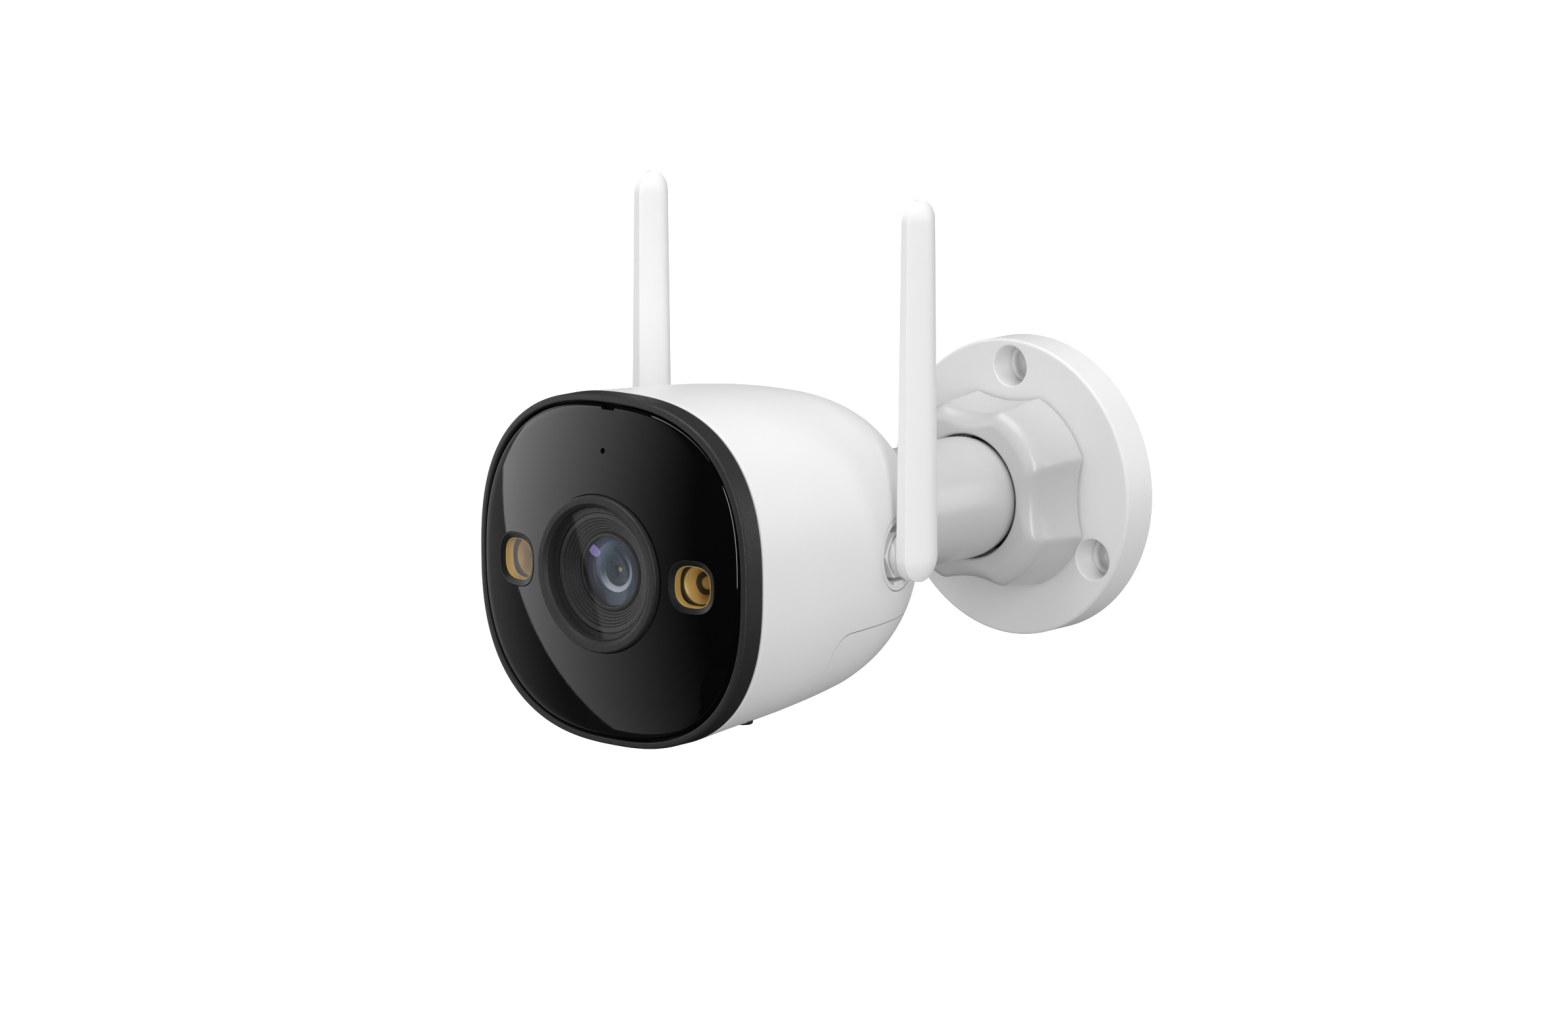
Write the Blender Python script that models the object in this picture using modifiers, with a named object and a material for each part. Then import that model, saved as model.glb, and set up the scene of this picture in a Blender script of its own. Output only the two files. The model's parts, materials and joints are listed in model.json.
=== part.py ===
"""Security camera: a bullet camera with two antennas on a ball-jointed round wall base.

World frame: the origin is the centre of the base's back face, +Z is up, and the camera looks along -Y.
Every piece is drawn in a local frame whose x is world X, y is up and z is the distance out from the wall.
"""

import math

import bmesh
import bpy
import numpy as np
from mathutils import Vector

MM = 0.001

# ---- clearances -----------------------------------------------------------
GAP = 0.3 * MM                     # between pieces that touch
RUN = 0.5 * MM                     # around pieces that turn or slide

# ---- ball joint and neck --------------------------------------------------
NECK_RADIUS = 13.4 * MM
NECK_WALL = 2.8 * MM
NECK_BORE = NECK_RADIUS - NECK_WALL
BALL_OUT = 26.9 * MM               # centre of the ball end
BALL_OPENING = math.radians(43)    # half angle of the hole in the back of the ball end
FLARE_START = 47.0 * MM
NECK_END = 61.0 * MM
FLARE = 2.8 * MM                   # how much wider the neck is at the body
NECK_END_RADIUS = NECK_RADIUS + FLARE
SPIGOT_RADIUS = NECK_RADIUS - 0.6 * MM
SPIGOT_LENGTH = 7.5 * MM
RING_NUT_WALL = 1.9 * MM
RING_NUT_LENGTH = 2.6 * MM
NECK_SCREW_OUT = 36.2 * MM
NECK_SCREW_RADIUS = 1.7 * MM
POST_STEM_RADIUS = 2.9 * MM
SHANK_RADIUS = 1.6 * MM
DISC_THICK = 0.8 * MM
DOME_ANGLE = math.radians(55)

# ---- lock nut -------------------------------------------------------------
NUT_WALL = 9.1 * MM                # from the neck to the nut's lobes
NUT_RADIUS = NECK_RADIUS + NUT_WALL
NUT_SCALLOP_RADIUS = 28.4 * MM
NUT_FRONT_OUT = 24.4 * MM
NUT_TAPER = 0.93                   # size of the front outline over the back outline
NUT_ROUND = 3.2 * MM
NUT_WEB = 4.4 * MM
NUT_LIP_ROUND = 0.5 * MM

# ---- wall base ------------------------------------------------------------
SCREW_HOLE_RADIUS = 2.3 * MM
SCREW_HEAD_RADIUS = 4.5 * MM
SCREW_CIRCLE = NUT_RADIUS + SCREW_HEAD_RADIUS
SCREW_SEAT = 3.0 * MM              # height of the seat of the screw heads above the back face
PLATE_RIM = 1.5 * MM               # between a screw recess and the plate's edge
PLATE_RADIUS = SCREW_CIRCLE + SCREW_HEAD_RADIUS + PLATE_RIM
PLATE_THICK = 9.0 * MM
PLATE_EDGE = 0.7 * MM
PLATE_FLOOR = 4.0 * MM
BOSS_BORE = NECK_RADIUS - 0.9 * MM
BOSS_WALL = 4.7 * MM
BOSS_RADIUS = BOSS_BORE + BOSS_WALL
BOSS_OUT = 17.5 * MM

# ---- body -----------------------------------------------------------------
BODY_HALF_WIDTH = 36.83 * MM
BODY_HALF_HEIGHT = 36.5 * MM
BODY_FRONT_OUT = 134.4 * MM
BODY_BACK_OUT = NECK_END + 0.4 * MM
BODY_SQUARENESS = 2.53             # superellipse exponent at the front; 2 is an ellipse
WALL = 2.2 * MM

# share of the length behind the front edge, and how wide it still is: 1 as the front, 0 as the neck
BODY_TAPER = (
    (0.000, 1.000),
    (0.130, 0.971),
    (0.270, 0.948),
    (0.405, 0.914),
    (0.542, 0.864),
    (0.679, 0.782),
    (0.788, 0.641),
    (0.884, 0.393),
    (0.945, 0.161),
    (0.980, 0.054),
    (1.000, 0.000),
)

# ---- front ----------------------------------------------------------------
BEZEL_DEPTH = 6.5 * MM
BEZEL_ROUND = 1.9 * MM
BEZEL_LIP = 2.2 * MM
BEZEL_SKIRT = 5.0 * MM
SEAL_THICK = 0.9 * MM
PANEL_THICK = 1.6 * MM
PANEL_DOME_RADIUS = 165.0 * MM
PANEL_APEX_OUT = BODY_FRONT_OUT + 10.7 * MM
PANEL_HALF_WIDTH = BODY_HALF_WIDTH - BEZEL_LIP - 0.4 * MM
NOTCH_WIDTH = 4.2 * MM
NOTCH_DEPTH = 1.0 * MM
MIC_UP = 25.4 * MM
MIC_HOLE_RADIUS = 0.6 * MM
SENSOR_DOWN = 26.0 * MM

# ---- lens -----------------------------------------------------------------
RING_RADIUS = 16.35 * MM
RING_OUT = PANEL_APEX_OUT - 0.4 * MM
RING_DEPTH = 4.7 * MM
WINDOW_RADIUS = 13.7 * MM
WINDOW_THICK = 1.2 * MM
CONE_RADIUS = 12.3 * MM
CONE_RIBS = 4
BARREL_RADIUS = 8.0 * MM
BARREL_LENGTH = 14.0 * MM
ELEMENT_RADIUS = 7.2 * MM
ELEMENT_RISE = 1.5 * MM

# ---- lights ---------------------------------------------------------------
LIGHT_HALF = 5.55 * MM
LIGHT_SHARE = 0.369                # of the spare width beside a light, how much is towards the lens
LIGHT_OFFSET = (RING_RADIUS + LIGHT_HALF
                + LIGHT_SHARE * (PANEL_HALF_WIDTH - RING_RADIUS - 2 * LIGHT_HALF))
LIGHT_GLASS_HALF = 4.5 * MM
LIGHT_SQUARENESS = 3.0
REFLECTOR_DEPTH = 4.6 * MM

# ---- antennas -------------------------------------------------------------
ANTENNA_OUT = 86.0 * MM            # swivel axis
ANTENNA_STANDOFF = 4.3 * MM        # middle of the blade from the body's side at the swivel
ANTENNA_LENGTH = 70.0 * MM         # swivel axis to the centre of the tip's round
ANTENNA_BASE_RADIUS = 5.45 * MM
ANTENNA_TIP_RADIUS = 4.6 * MM
ANTENNA_EDGE_BASE = 2.3 * MM
ANTENNA_EDGE_TIP = 1.5 * MM
ANTENNA_CROWN = 1.7 * MM
HUB_RADIUS = 4.8 * MM
STEM_RADIUS = 3.0 * MM
COLLAR_RADIUS = 5.5 * MM
SOCKET_RADIUS = 7.8 * MM
SOCKET_WALL = 0.9 * MM
SOCKET_DEPTH = 6.4 * MM            # back of the socket from the body's side
SOCKET_FLOOR = 1.4 * MM
STOP_DEPTH = 0.6 * MM              # end of the stop block from the body's side
COLLAR_PROUD = 0.3 * MM            # end of the collar from the body's side
CLIP_THICK = 1.2 * MM

# ---- service hatch and what is behind it ----------------------------------
HATCH_TOP = -14.2 * MM
HATCH_FRONT_OUT = BODY_FRONT_OUT - 26.1 * MM
HATCH_BACK_OUT = BODY_BACK_OUT + 11.6 * MM
HATCH_CORNER = 5.0 * MM
HATCH_SCREW_X = 13.0 * MM
HATCH_SCREW_OUT = HATCH_FRONT_OUT - 6.3 * MM
CASE_SCREW_X = 18.5 * MM
CASE_SCREW_OUT = BODY_FRONT_OUT - 14.4 * MM
DRAIN_X = 20.0 * MM
DRAIN_OUT = BODY_FRONT_OUT - 20.9 * MM
DRAIN_RADIUS = 1.2 * MM
SMALL_HEAD_RADIUS = 2.1 * MM
SMALL_SHANK_RADIUS = 1.1 * MM
SMALL_HEAD_HEIGHT = 1.2 * MM

# ---- electronics ----------------------------------------------------------
BOARD = 1.6 * MM
SENSOR_BOARD_OUT = RING_OUT - 30.1 * MM
MAIN_BOARD_OUT = SENSOR_BOARD_OUT - 10.6 * MM
POST_X, POST_Y = 15.0 * MM, 12.5 * MM
POST_RADIUS = 2.2 * MM
HOLDER_HALF = (13.0 * MM, 10.0 * MM)
SERVICE_BOARD_UP = -16.0 * MM
CARD = (15.0 * MM, 11.0 * MM, 0.9 * MM)
SPEAKER_RADIUS = 7.5 * MM
SPEAKER_OUT = BODY_FRONT_OUT - 18.0 * MM
SPEAKER_HOLE_RADIUS = 0.7 * MM

# steps round a turned piece
FINE = 40
ROUND = 24
MEDIUM = 20
SMALL = 12

COLOURS = {
    "white_plastic": ((0.83, 0.83, 0.83), 0.45, 0.0),
    "black_plastic": ((0.025, 0.025, 0.027), 0.6, 0.0),
    "black_gloss": ((0.008, 0.008, 0.009), 0.08, 0.0),
    "clear": ((0.75, 0.80, 0.85), 0.02, 0.0),
    "lens_glass": ((0.12, 0.14, 0.22), 0.03, 0.0),
    "amber": ((0.62, 0.42, 0.12), 0.3, 0.6),
    "yellow_phosphor": ((0.85, 0.65, 0.12), 0.5, 0.0),
    "steel": ((0.6, 0.6, 0.62), 0.3, 1.0),
    "brass": ((0.75, 0.58, 0.28), 0.35, 1.0),
    "aluminium": ((0.72, 0.73, 0.75), 0.4, 1.0),
    "rubber": ((0.04, 0.04, 0.04), 0.85, 0.0),
    "circuit_board": ((0.02, 0.16, 0.07), 0.5, 0.0),
    "copper_coil": ((0.7, 0.35, 0.18), 0.4, 1.0),
    "grey_plastic": ((0.35, 0.35, 0.36), 0.5, 0.0),
}


# ---- scene helpers --------------------------------------------------------
def clear_scene():
    for item in list(bpy.data.objects):
        bpy.data.objects.remove(item, do_unlink=True)


def make_collection(name):
    collection = bpy.data.collections.new(name)
    bpy.context.scene.collection.children.link(collection)
    return collection


def material(name):
    found = bpy.data.materials.get(name)
    if found:
        return found
    colour, roughness, metallic = COLOURS[name]
    made = bpy.data.materials.new(name)
    made.use_nodes = True
    shader = made.node_tree.nodes["Principled BSDF"]
    shader.inputs["Base Color"].default_value = (*colour, 1.0)
    shader.inputs["Roughness"].default_value = roughness
    shader.inputs["Metallic"].default_value = metallic
    return made


def make_empty(name, parent=None, location=(0, 0, 0), rotation=(0, 0, 0)):
    empty = bpy.data.objects.new(name, None)
    PARTS.objects.link(empty)
    empty.empty_display_size = 0.01
    empty.parent = parent
    empty.location = location
    empty.rotation_euler = rotation
    return empty


def add_object(name, mesh, look, parent, location=(0, 0, 0), rotation=(0, 0, 0)):
    item = bpy.data.objects.new(name, mesh)
    if look is None:
        CUTTERS.objects.link(item)
        item.hide_render = True
        item.display_type = "WIRE"
    else:
        PARTS.objects.link(item)
        mesh.materials.append(material(look))
    item.parent = parent
    item.location = location
    item.rotation_euler = rotation
    return item


def finish_mesh(name, bm, smooth=True):
    mesh = bpy.data.meshes.new(name)
    bm.to_mesh(mesh)
    bm.free()
    if smooth:
        mesh.shade_smooth()
        mesh.set_sharp_from_angle(angle=math.radians(32))
    return mesh


def boolean(target, cutter, operation="DIFFERENCE"):
    modifier = target.modifiers.new(operation.lower() + "_" + cutter.name, "BOOLEAN")
    modifier.operation = operation
    modifier.object = cutter


def bevel(target, width, segments=2):
    modifier = target.modifiers.new("rounded_edges", "BEVEL")
    modifier.width = width
    modifier.segments = segments
    modifier.limit_method = "ANGLE"
    modifier.angle_limit = math.radians(40)


# ---- shape helpers --------------------------------------------------------
def box(name, size, centre, look, parent, round_edges=0.0, rotation=(0, 0, 0)):
    bm = bmesh.new()
    bmesh.ops.create_cube(bm, size=1.0)
    bmesh.ops.scale(bm, vec=size, verts=bm.verts)
    item = add_object(name, finish_mesh(name, bm, smooth=False), look, parent, centre, rotation)
    if round_edges:
        bevel(item, round_edges)
    return item


def cylinder(name, radius, low, high, look, parent, segments=ROUND, location=(0, 0, 0), rotation=(0, 0, 0)):
    """A solid cylinder along local z from low to high."""
    bm = bmesh.new()
    bmesh.ops.create_cone(bm, cap_ends=True, segments=segments, radius1=radius, radius2=radius,
                          depth=high - low)
    bmesh.ops.translate(bm, vec=(0, 0, (high + low) / 2), verts=bm.verts)
    return add_object(name, finish_mesh(name, bm), look, parent, location, rotation)


def turned(name, profile, look, parent, segments=ROUND, location=(0, 0, 0), rotation=(0, 0, 0)):
    """Turn a profile of (radius, z) about z. It runs down the outer side; it closes on itself off the axis."""
    mesh = bpy.data.meshes.new(name)
    count = len(profile)
    edges = [(i, i + 1) for i in range(count - 1)]
    if profile[0][0] > 0:
        edges.append((count - 1, 0))
    mesh.from_pydata([(radius, 0, z) for radius, z in profile], edges, [])
    item = add_object(name, mesh, look, parent, location, rotation)
    screw = item.modifiers.new("turn", "SCREW")
    screw.steps = segments
    screw.render_steps = segments
    screw.use_merge_vertices = True
    screw.merge_threshold = 0.00001
    screw.use_smooth_shade = True
    return item


def arc(centre_z, radius, start, end, steps):
    """Points on a circle about (0, centre_z); the angle is measured from the backward axis."""
    angles = np.linspace(start, end, steps)
    return [(radius * math.sin(a), centre_z - radius * math.cos(a)) for a in angles]


def corner(centre, radius, start, end, steps=5):
    angles = np.linspace(math.radians(start), math.radians(end), steps)
    return [(centre[0] + radius * math.cos(a), centre[1] + radius * math.sin(a)) for a in angles]


def squircle(half_width, half_height, exponent, z, count=FINE, x=0.0, y=0.0):
    """A superellipse ring, counter-clockwise seen from in front."""
    points = []
    for i in range(count):
        angle = 2 * math.pi * i / count
        c, s = math.cos(angle), math.sin(angle)
        px = math.copysign(abs(c) ** (2 / exponent), c) * half_width
        py = math.copysign(abs(s) ** (2 / exponent), s) * half_height
        points.append(Vector((x + px, y + py, z)))
    return points


def loft(name, rings, look, parent, closed=False, location=(0, 0, 0), rotation=(0, 0, 0), caps=True):
    """Skin rings of equal count, given from front to back on the outside."""
    bm = bmesh.new()
    rows = [[bm.verts.new(point) for point in ring] for ring in rings]
    count = len(rows[0])
    pairs = list(zip(rows, rows[1:]))
    if closed:
        pairs.append((rows[-1], rows[0]))
    for front, back in pairs:
        for i in range(count):
            j = (i + 1) % count
            bm.faces.new((front[i], back[i], back[j], front[j]))
    if caps and not closed:
        bm.faces.new(rows[0])
        bm.faces.new(tuple(reversed(rows[-1])))
    return add_object(name, finish_mesh(name, bm), look, parent, location, rotation)


def squircle_ring(name, section, exponent, look, parent, aspect=1.0, count=FINE):
    """A frame whose section is a closed loop of (half size, z), running down its outer side."""
    rings = [squircle(half, half * aspect, exponent, z, count) for half, z in section]
    return loft(name, rings, look, parent, closed=True)


def rounded_prism(name, low, high, radius, half_depth, look, parent):
    """A flat outline with round corners, from low (x, y) to high (x, y), thick along z."""
    curve = bpy.data.curves.new(name, "CURVE")
    curve.dimensions = "2D"
    curve.fill_mode = "BOTH"
    curve.extrude = half_depth
    points = []
    for cx, cy, start in ((high[0] - radius, high[1] - radius, 0), (low[0] + radius, high[1] - radius, 90),
                          (low[0] + radius, low[1] + radius, 180), (high[0] - radius, low[1] + radius, 270)):
        points += corner((cx, cy), radius, start, start + 90, 7)
    spline = curve.splines.new("POLY")
    spline.points.add(len(points) - 1)
    for point, (x, y) in zip(spline.points, points):
        point.co = (x, y, 0, 1)
    spline.use_cyclic_u = True
    drawn = bpy.data.objects.new(name + "_outline", curve)
    bpy.context.scene.collection.objects.link(drawn)
    bpy.context.view_layer.update()
    mesh = bpy.data.meshes.new_from_object(drawn.evaluated_get(bpy.context.evaluated_depsgraph_get()))
    bpy.data.objects.remove(drawn)
    bm = bmesh.new()
    bm.from_mesh(mesh)
    bmesh.ops.remove_doubles(bm, verts=bm.verts, dist=0.00001)
    bm.to_mesh(mesh)
    bm.free()
    return add_object(name, mesh, look, parent)


def monotone(xs, ys, at):
    """Smooth curve through points with no overshoot (monotone cubic)."""
    xs, ys = np.array(xs), np.array(ys)
    step = np.diff(xs)
    slope = np.diff(ys) / step
    inner = np.where(slope[:-1] * slope[1:] > 0, 2 * slope[:-1] * slope[1:] / (slope[:-1] + slope[1:]), 0)
    tangent = np.concatenate([[slope[0]], inner, [slope[-1]]])
    i = np.clip(np.searchsorted(xs, at) - 1, 0, len(step) - 1)
    t = (at - xs[i]) / step[i]
    return ((2 * t**3 - 3 * t**2 + 1) * ys[i] + (t**3 - 2 * t**2 + t) * step[i] * tangent[i]
            + (3 * t**2 - 2 * t**3) * ys[i + 1] + (t**3 - t**2) * step[i] * tangent[i + 1])


def panel_surface(radius):
    """Distance out of the domed panel's front face at a distance from the axis."""
    return PANEL_APEX_OUT - PANEL_DOME_RADIUS + math.sqrt(PANEL_DOME_RADIUS**2 - radius**2)


def body_section(share, inset=0.0):
    """The body's outer section at a share of its length behind the front edge, as half sizes and exponent."""
    shares, sizes = zip(*BODY_TAPER)
    size = float(monotone(shares, sizes, np.array([share]))[0])
    height = BODY_HALF_HEIGHT / BODY_HALF_WIDTH
    rounding = max(0.0, (share - 0.6) / 0.4)
    squash = height * (1 - share) + 0.955 * share
    if share > 0.85:
        squash += (1 - squash) * (share - 0.85) / 0.15
    exponent = BODY_SQUARENESS + (2.0 - BODY_SQUARENESS) * rounding
    half = NECK_END_RADIUS + (BODY_HALF_WIDTH - NECK_END_RADIUS) * size
    return half - inset, half * squash - inset, exponent


def swivel_side():
    """Half width of the body at the antennas' swivel axis."""
    return body_section((BODY_FRONT_OUT - ANTENNA_OUT) / (BODY_FRONT_OUT - BODY_BACK_OUT))[0]


def body_rings(inset=0.0, count=FINE):
    length = BODY_FRONT_OUT - BODY_BACK_OUT
    shares = (0.0, 0.2, 0.4, 0.55, 0.68, 0.78, 0.86, 0.92, 0.96, 1.0)
    rings = []
    for share in shares:
        half_width, half_height, exponent = body_section(share, inset)
        rings.append(squircle(half_width, half_height, exponent, BODY_FRONT_OUT - share * length, count))
    return rings


# ---- wall base and ball joint ---------------------------------------------
def build_wall_plate(wall):
    profile = [
        (0, PLATE_FLOOR),
        (BOSS_BORE, PLATE_FLOOR),
        (BOSS_BORE, BOSS_OUT),
        (BOSS_RADIUS, BOSS_OUT),
        (BOSS_RADIUS, PLATE_THICK),
        (PLATE_RADIUS - PLATE_EDGE, PLATE_THICK),
        (PLATE_RADIUS, PLATE_THICK - PLATE_EDGE),
        (PLATE_RADIUS, 0),
        (0, 0),
    ]
    plate = turned("wall_plate", profile, "white_plastic", wall, FINE)
    past = 1.0 * MM
    for i, degrees in enumerate((90, 210, 330)):
        angle = math.radians(degrees)
        place = (SCREW_CIRCLE * math.cos(angle), SCREW_CIRCLE * math.sin(angle), 0)
        shape = [
            (0, PLATE_THICK + past),
            (SCREW_HEAD_RADIUS, PLATE_THICK + past),
            (SCREW_HEAD_RADIUS, SCREW_SEAT),
            (SCREW_HOLE_RADIUS, SCREW_SEAT),
            (SCREW_HOLE_RADIUS, -past),
            (0, -past),
        ]
        boolean(plate, turned(f"screw_hole_{i}", shape, None, wall, MEDIUM, place))
    return plate


def nut_outline(scale, inset, z, per_side=5):
    """Four lobes and four scallops; a scallop is an arc about a point outside the nut."""
    radius = NUT_RADIUS * scale
    scallop = NUT_SCALLOP_RADIUS * scale
    eighth = math.radians(22.5)
    distance = radius * math.cos(eighth) + math.sqrt(scallop**2 - (radius * math.sin(eighth)) ** 2)
    reach = math.asin(radius * math.sin(eighth) / scallop)
    points = []
    for quarter in range(4):
        turn = quarter * math.pi / 2
        for i in range(per_side):
            swing = reach * (2 * i / per_side - 1)
            x = distance - scallop * math.cos(swing)
            y = scallop * math.sin(swing)
            points.append(Vector((x * math.cos(turn) - y * math.sin(turn),
                                  x * math.sin(turn) + y * math.cos(turn), z)))
        for i in range(per_side):
            angle = turn + eighth + 2 * eighth * i / per_side
            points.append(Vector((radius * math.cos(angle), radius * math.sin(angle), z)))
    for point in points:
        flat = Vector((point.x, point.y, 0))
        flat -= flat.normalized() * inset
        point.x, point.y = flat.x, flat.y
    return points


def circle_like(outline, radius, z):
    """A circle with its points at the same angles as another ring's."""
    return [Vector((*(Vector((p.x, p.y)).normalized() * radius), z)) for p in outline]


def build_lock_nut(nut):
    back_out = PLATE_THICK + RUN
    seat_radius = NECK_RADIUS + GAP
    rings = []
    round_out = NUT_FRONT_OUT - NUT_ROUND
    slope = (1 - NUT_TAPER) / (NUT_FRONT_OUT - back_out)
    round_steps = 4
    for step in range(round_steps + 1):
        angle = math.pi / 2 * (1 - step / round_steps)
        z = round_out + NUT_ROUND * math.sin(angle)
        inset = NUT_ROUND * (1 - math.cos(angle))
        rings.append(nut_outline(1 - slope * (z - back_out), inset, z))
    rings.append(nut_outline(1.0, 0.0, back_out))
    outline = rings[-1]
    rings.append(circle_like(outline, BOSS_RADIUS + RUN, back_out))
    web_back = NUT_FRONT_OUT - NUT_WEB
    rings.append(circle_like(outline, BOSS_RADIUS + RUN, web_back))
    seat_steps = 2
    for step in range(seat_steps + 1):
        z = web_back + (NUT_WEB - NUT_LIP_ROUND) * step / seat_steps
        rings.append(circle_like(outline, math.sqrt(seat_radius**2 - (BALL_OUT - z) ** 2), z))
    lip = math.sqrt(seat_radius**2 - (BALL_OUT - NUT_FRONT_OUT + NUT_LIP_ROUND) ** 2)
    rings.append(circle_like(outline, lip + NUT_LIP_ROUND * 0.3, NUT_FRONT_OUT - NUT_LIP_ROUND * 0.3))
    rings.append(circle_like(outline, lip + NUT_LIP_ROUND, NUT_FRONT_OUT))
    return loft("lock_nut", rings, "white_plastic", nut, closed=True)


def build_ball_joint(wall, swing, tilt):
    disc_outer = NECK_BORE - GAP
    disc_inner = disc_outer - DISC_THICK
    dome = disc_inner - GAP
    post_out = BALL_OUT - dome - GAP
    turned("pivot_post", [
        (POST_STEM_RADIUS, post_out),
        (POST_STEM_RADIUS, PLATE_FLOOR + 3.0 * MM),
        (BOSS_BORE - GAP, PLATE_FLOOR + 3.0 * MM),
        (BOSS_BORE - GAP, PLATE_FLOOR + GAP),
        (SHANK_RADIUS + GAP, PLATE_FLOOR + GAP),
        (SHANK_RADIUS + GAP, post_out),
    ], "brass", wall, SMALL)
    head_back = BALL_OUT - dome * math.cos(DOME_ANGLE) + GAP
    turned("pivot_screw", [
        (0, head_back + 2.4 * MM),
        (3.4 * MM, head_back + 2.4 * MM),
        (3.4 * MM, head_back),
        (SHANK_RADIUS, head_back),
        (SHANK_RADIUS, PLATE_FLOOR + 2 * GAP),
        (0, PLATE_FLOOR + 2 * GAP),
    ], "steel", wall, SMALL)
    hole = SHANK_RADIUS + GAP
    hole_angle = math.asin(hole / dome)
    turned("pivot_dome", list(reversed(arc(0, dome, hole_angle, DOME_ANGLE, 5)))
           + [(hole, -dome * math.cos(DOME_ANGLE))], "grey_plastic", swing, MEDIUM)
    disc_low, disc_high = math.radians(45), math.radians(70)
    turned("friction_disc", list(reversed(arc(0, disc_outer, disc_low, disc_high, 4)))
           + arc(0, disc_inner, disc_low, disc_high, 4), "rubber", tilt, MEDIUM)


def neck_outer_radius(z):
    """Radius of the neck's outside, straight and then flaring to meet the body."""
    share = max(0.0, (z - FLARE_START) / (NECK_END - FLARE_START))
    return NECK_RADIUS + (NECK_END_RADIUS - NECK_RADIUS) * share**2.2


def build_neck(camera):
    base = BALL_OUT                              # the camera frame's origin is the ball centre
    flare = [(neck_outer_radius(z), z - base) for z in np.linspace(NECK_END, FLARE_START, 5)]
    ball = arc(0, NECK_RADIUS, math.pi / 2, BALL_OPENING, 5)
    hollow = arc(0, NECK_BORE, BALL_OPENING, math.pi / 2, 4)
    spigot_front = NECK_END + SPIGOT_LENGTH - base
    profile = ([(SPIGOT_RADIUS, spigot_front), (SPIGOT_RADIUS, NECK_END - base)] + flare + ball + hollow
               + [(NECK_BORE, spigot_front)])
    neck = turned("neck", profile, "white_plastic", camera, FINE)
    down = NECK_RADIUS + 1.0 * MM
    head_seat = 1.4 * MM
    shape = [
        (0, down),
        (NECK_SCREW_RADIUS + GAP, down),
        (NECK_SCREW_RADIUS + GAP, NECK_RADIUS - head_seat),
        (SMALL_SHANK_RADIUS + GAP, NECK_RADIUS - head_seat),
        (SMALL_SHANK_RADIUS + GAP, NECK_BORE - 1.0 * MM),
        (0, NECK_BORE - 1.0 * MM),
    ]
    place = (0, 0, NECK_SCREW_OUT - base)
    downward = (math.radians(90), 0, 0)
    boolean(neck, turned("neck_screw_hole", shape, None, camera, SMALL, place, downward))
    turned("neck_screw", [
        (0, NECK_RADIUS - 0.4 * MM),
        (NECK_SCREW_RADIUS, NECK_RADIUS - 0.4 * MM),
        (NECK_SCREW_RADIUS, NECK_RADIUS - head_seat + GAP),
        (SMALL_SHANK_RADIUS, NECK_RADIUS - head_seat + GAP),
        (SMALL_SHANK_RADIUS, NECK_BORE - 1.5 * MM),
        (0, NECK_BORE - 1.5 * MM),
    ], "steel", camera, SMALL, place, downward)
    grommet_low, grommet_high = FLARE_START - base, FLARE_START + 9.0 * MM - base
    turned("cable_grommet", [
        (NECK_BORE - GAP, grommet_high),
        (NECK_BORE - GAP, grommet_low),
        (2.6 * MM, grommet_low),
        (2.6 * MM, grommet_high),
    ], "rubber", camera)
    ring_back = BODY_BACK_OUT + WALL + 2 * GAP - base
    ring_front = ring_back + RING_NUT_LENGTH
    ring_bore = SPIGOT_RADIUS + GAP
    turned("neck_ring_nut", [
        (ring_bore + RING_NUT_WALL, ring_front),
        (ring_bore + RING_NUT_WALL, ring_back),
        (ring_bore, ring_back),
        (ring_bore, ring_front),
    ], "brass", camera)


# ---- body -----------------------------------------------------------------
def hatch_region(name, shrink, body):
    """A prism across the body, seen from the side: everything under the hatch's seam."""
    low = (-(HATCH_FRONT_OUT - shrink), -1.5 * BODY_HALF_HEIGHT)
    high = (-(HATCH_BACK_OUT + shrink), HATCH_TOP - shrink)
    prism = rounded_prism(name, low, high, HATCH_CORNER, 1.3 * BODY_HALF_WIDTH, None, body)
    prism.rotation_euler = (0, math.radians(90), 0)
    return prism


def add_shell(name, look, parent):
    length = BODY_FRONT_OUT - BODY_BACK_OUT
    rings = body_rings()
    rings.append(squircle(SPIGOT_RADIUS + GAP, SPIGOT_RADIUS + GAP, 2.0, BODY_FRONT_OUT - length))
    shell = loft(name, rings, look, parent, caps=False)
    solid = shell.modifiers.new("wall", "SOLIDIFY")
    solid.thickness = WALL
    solid.offset = -1.0
    solid.use_even_offset = True
    return shell


def downward_screw_cut(name, x, out, depth_y, parent, seat=0.5 * MM):
    """A recess for a screw that enters from below; depth_y is how far below the axis its head sits."""
    shape = [
        (0, depth_y + 5.0 * MM),
        (SMALL_HEAD_RADIUS + GAP, depth_y + 5.0 * MM),
        (SMALL_HEAD_RADIUS + GAP, depth_y - SMALL_HEAD_HEIGHT - seat),
        (SMALL_SHANK_RADIUS + GAP, depth_y - SMALL_HEAD_HEIGHT - seat),
        (SMALL_SHANK_RADIUS + GAP, depth_y - 6.0 * MM),
        (0, depth_y - 6.0 * MM),
    ]
    return turned(name, shape, None, parent, SMALL, (x, 0, out), (math.radians(90), 0, 0))


def downward_screw(name, x, out, depth_y, parent, seat=0.5 * MM, length=5.0 * MM):
    under_head = depth_y - SMALL_HEAD_HEIGHT - seat + GAP
    shape = [
        (0, under_head + SMALL_HEAD_HEIGHT),
        (SMALL_HEAD_RADIUS, under_head + SMALL_HEAD_HEIGHT),
        (SMALL_HEAD_RADIUS, under_head),
        (SMALL_SHANK_RADIUS, under_head),
        (SMALL_SHANK_RADIUS, under_head - length),
        (0, under_head - length),
    ]
    return turned(name, shape, "steel", parent, SMALL, (x, 0, out), (math.radians(90), 0, 0))


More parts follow.
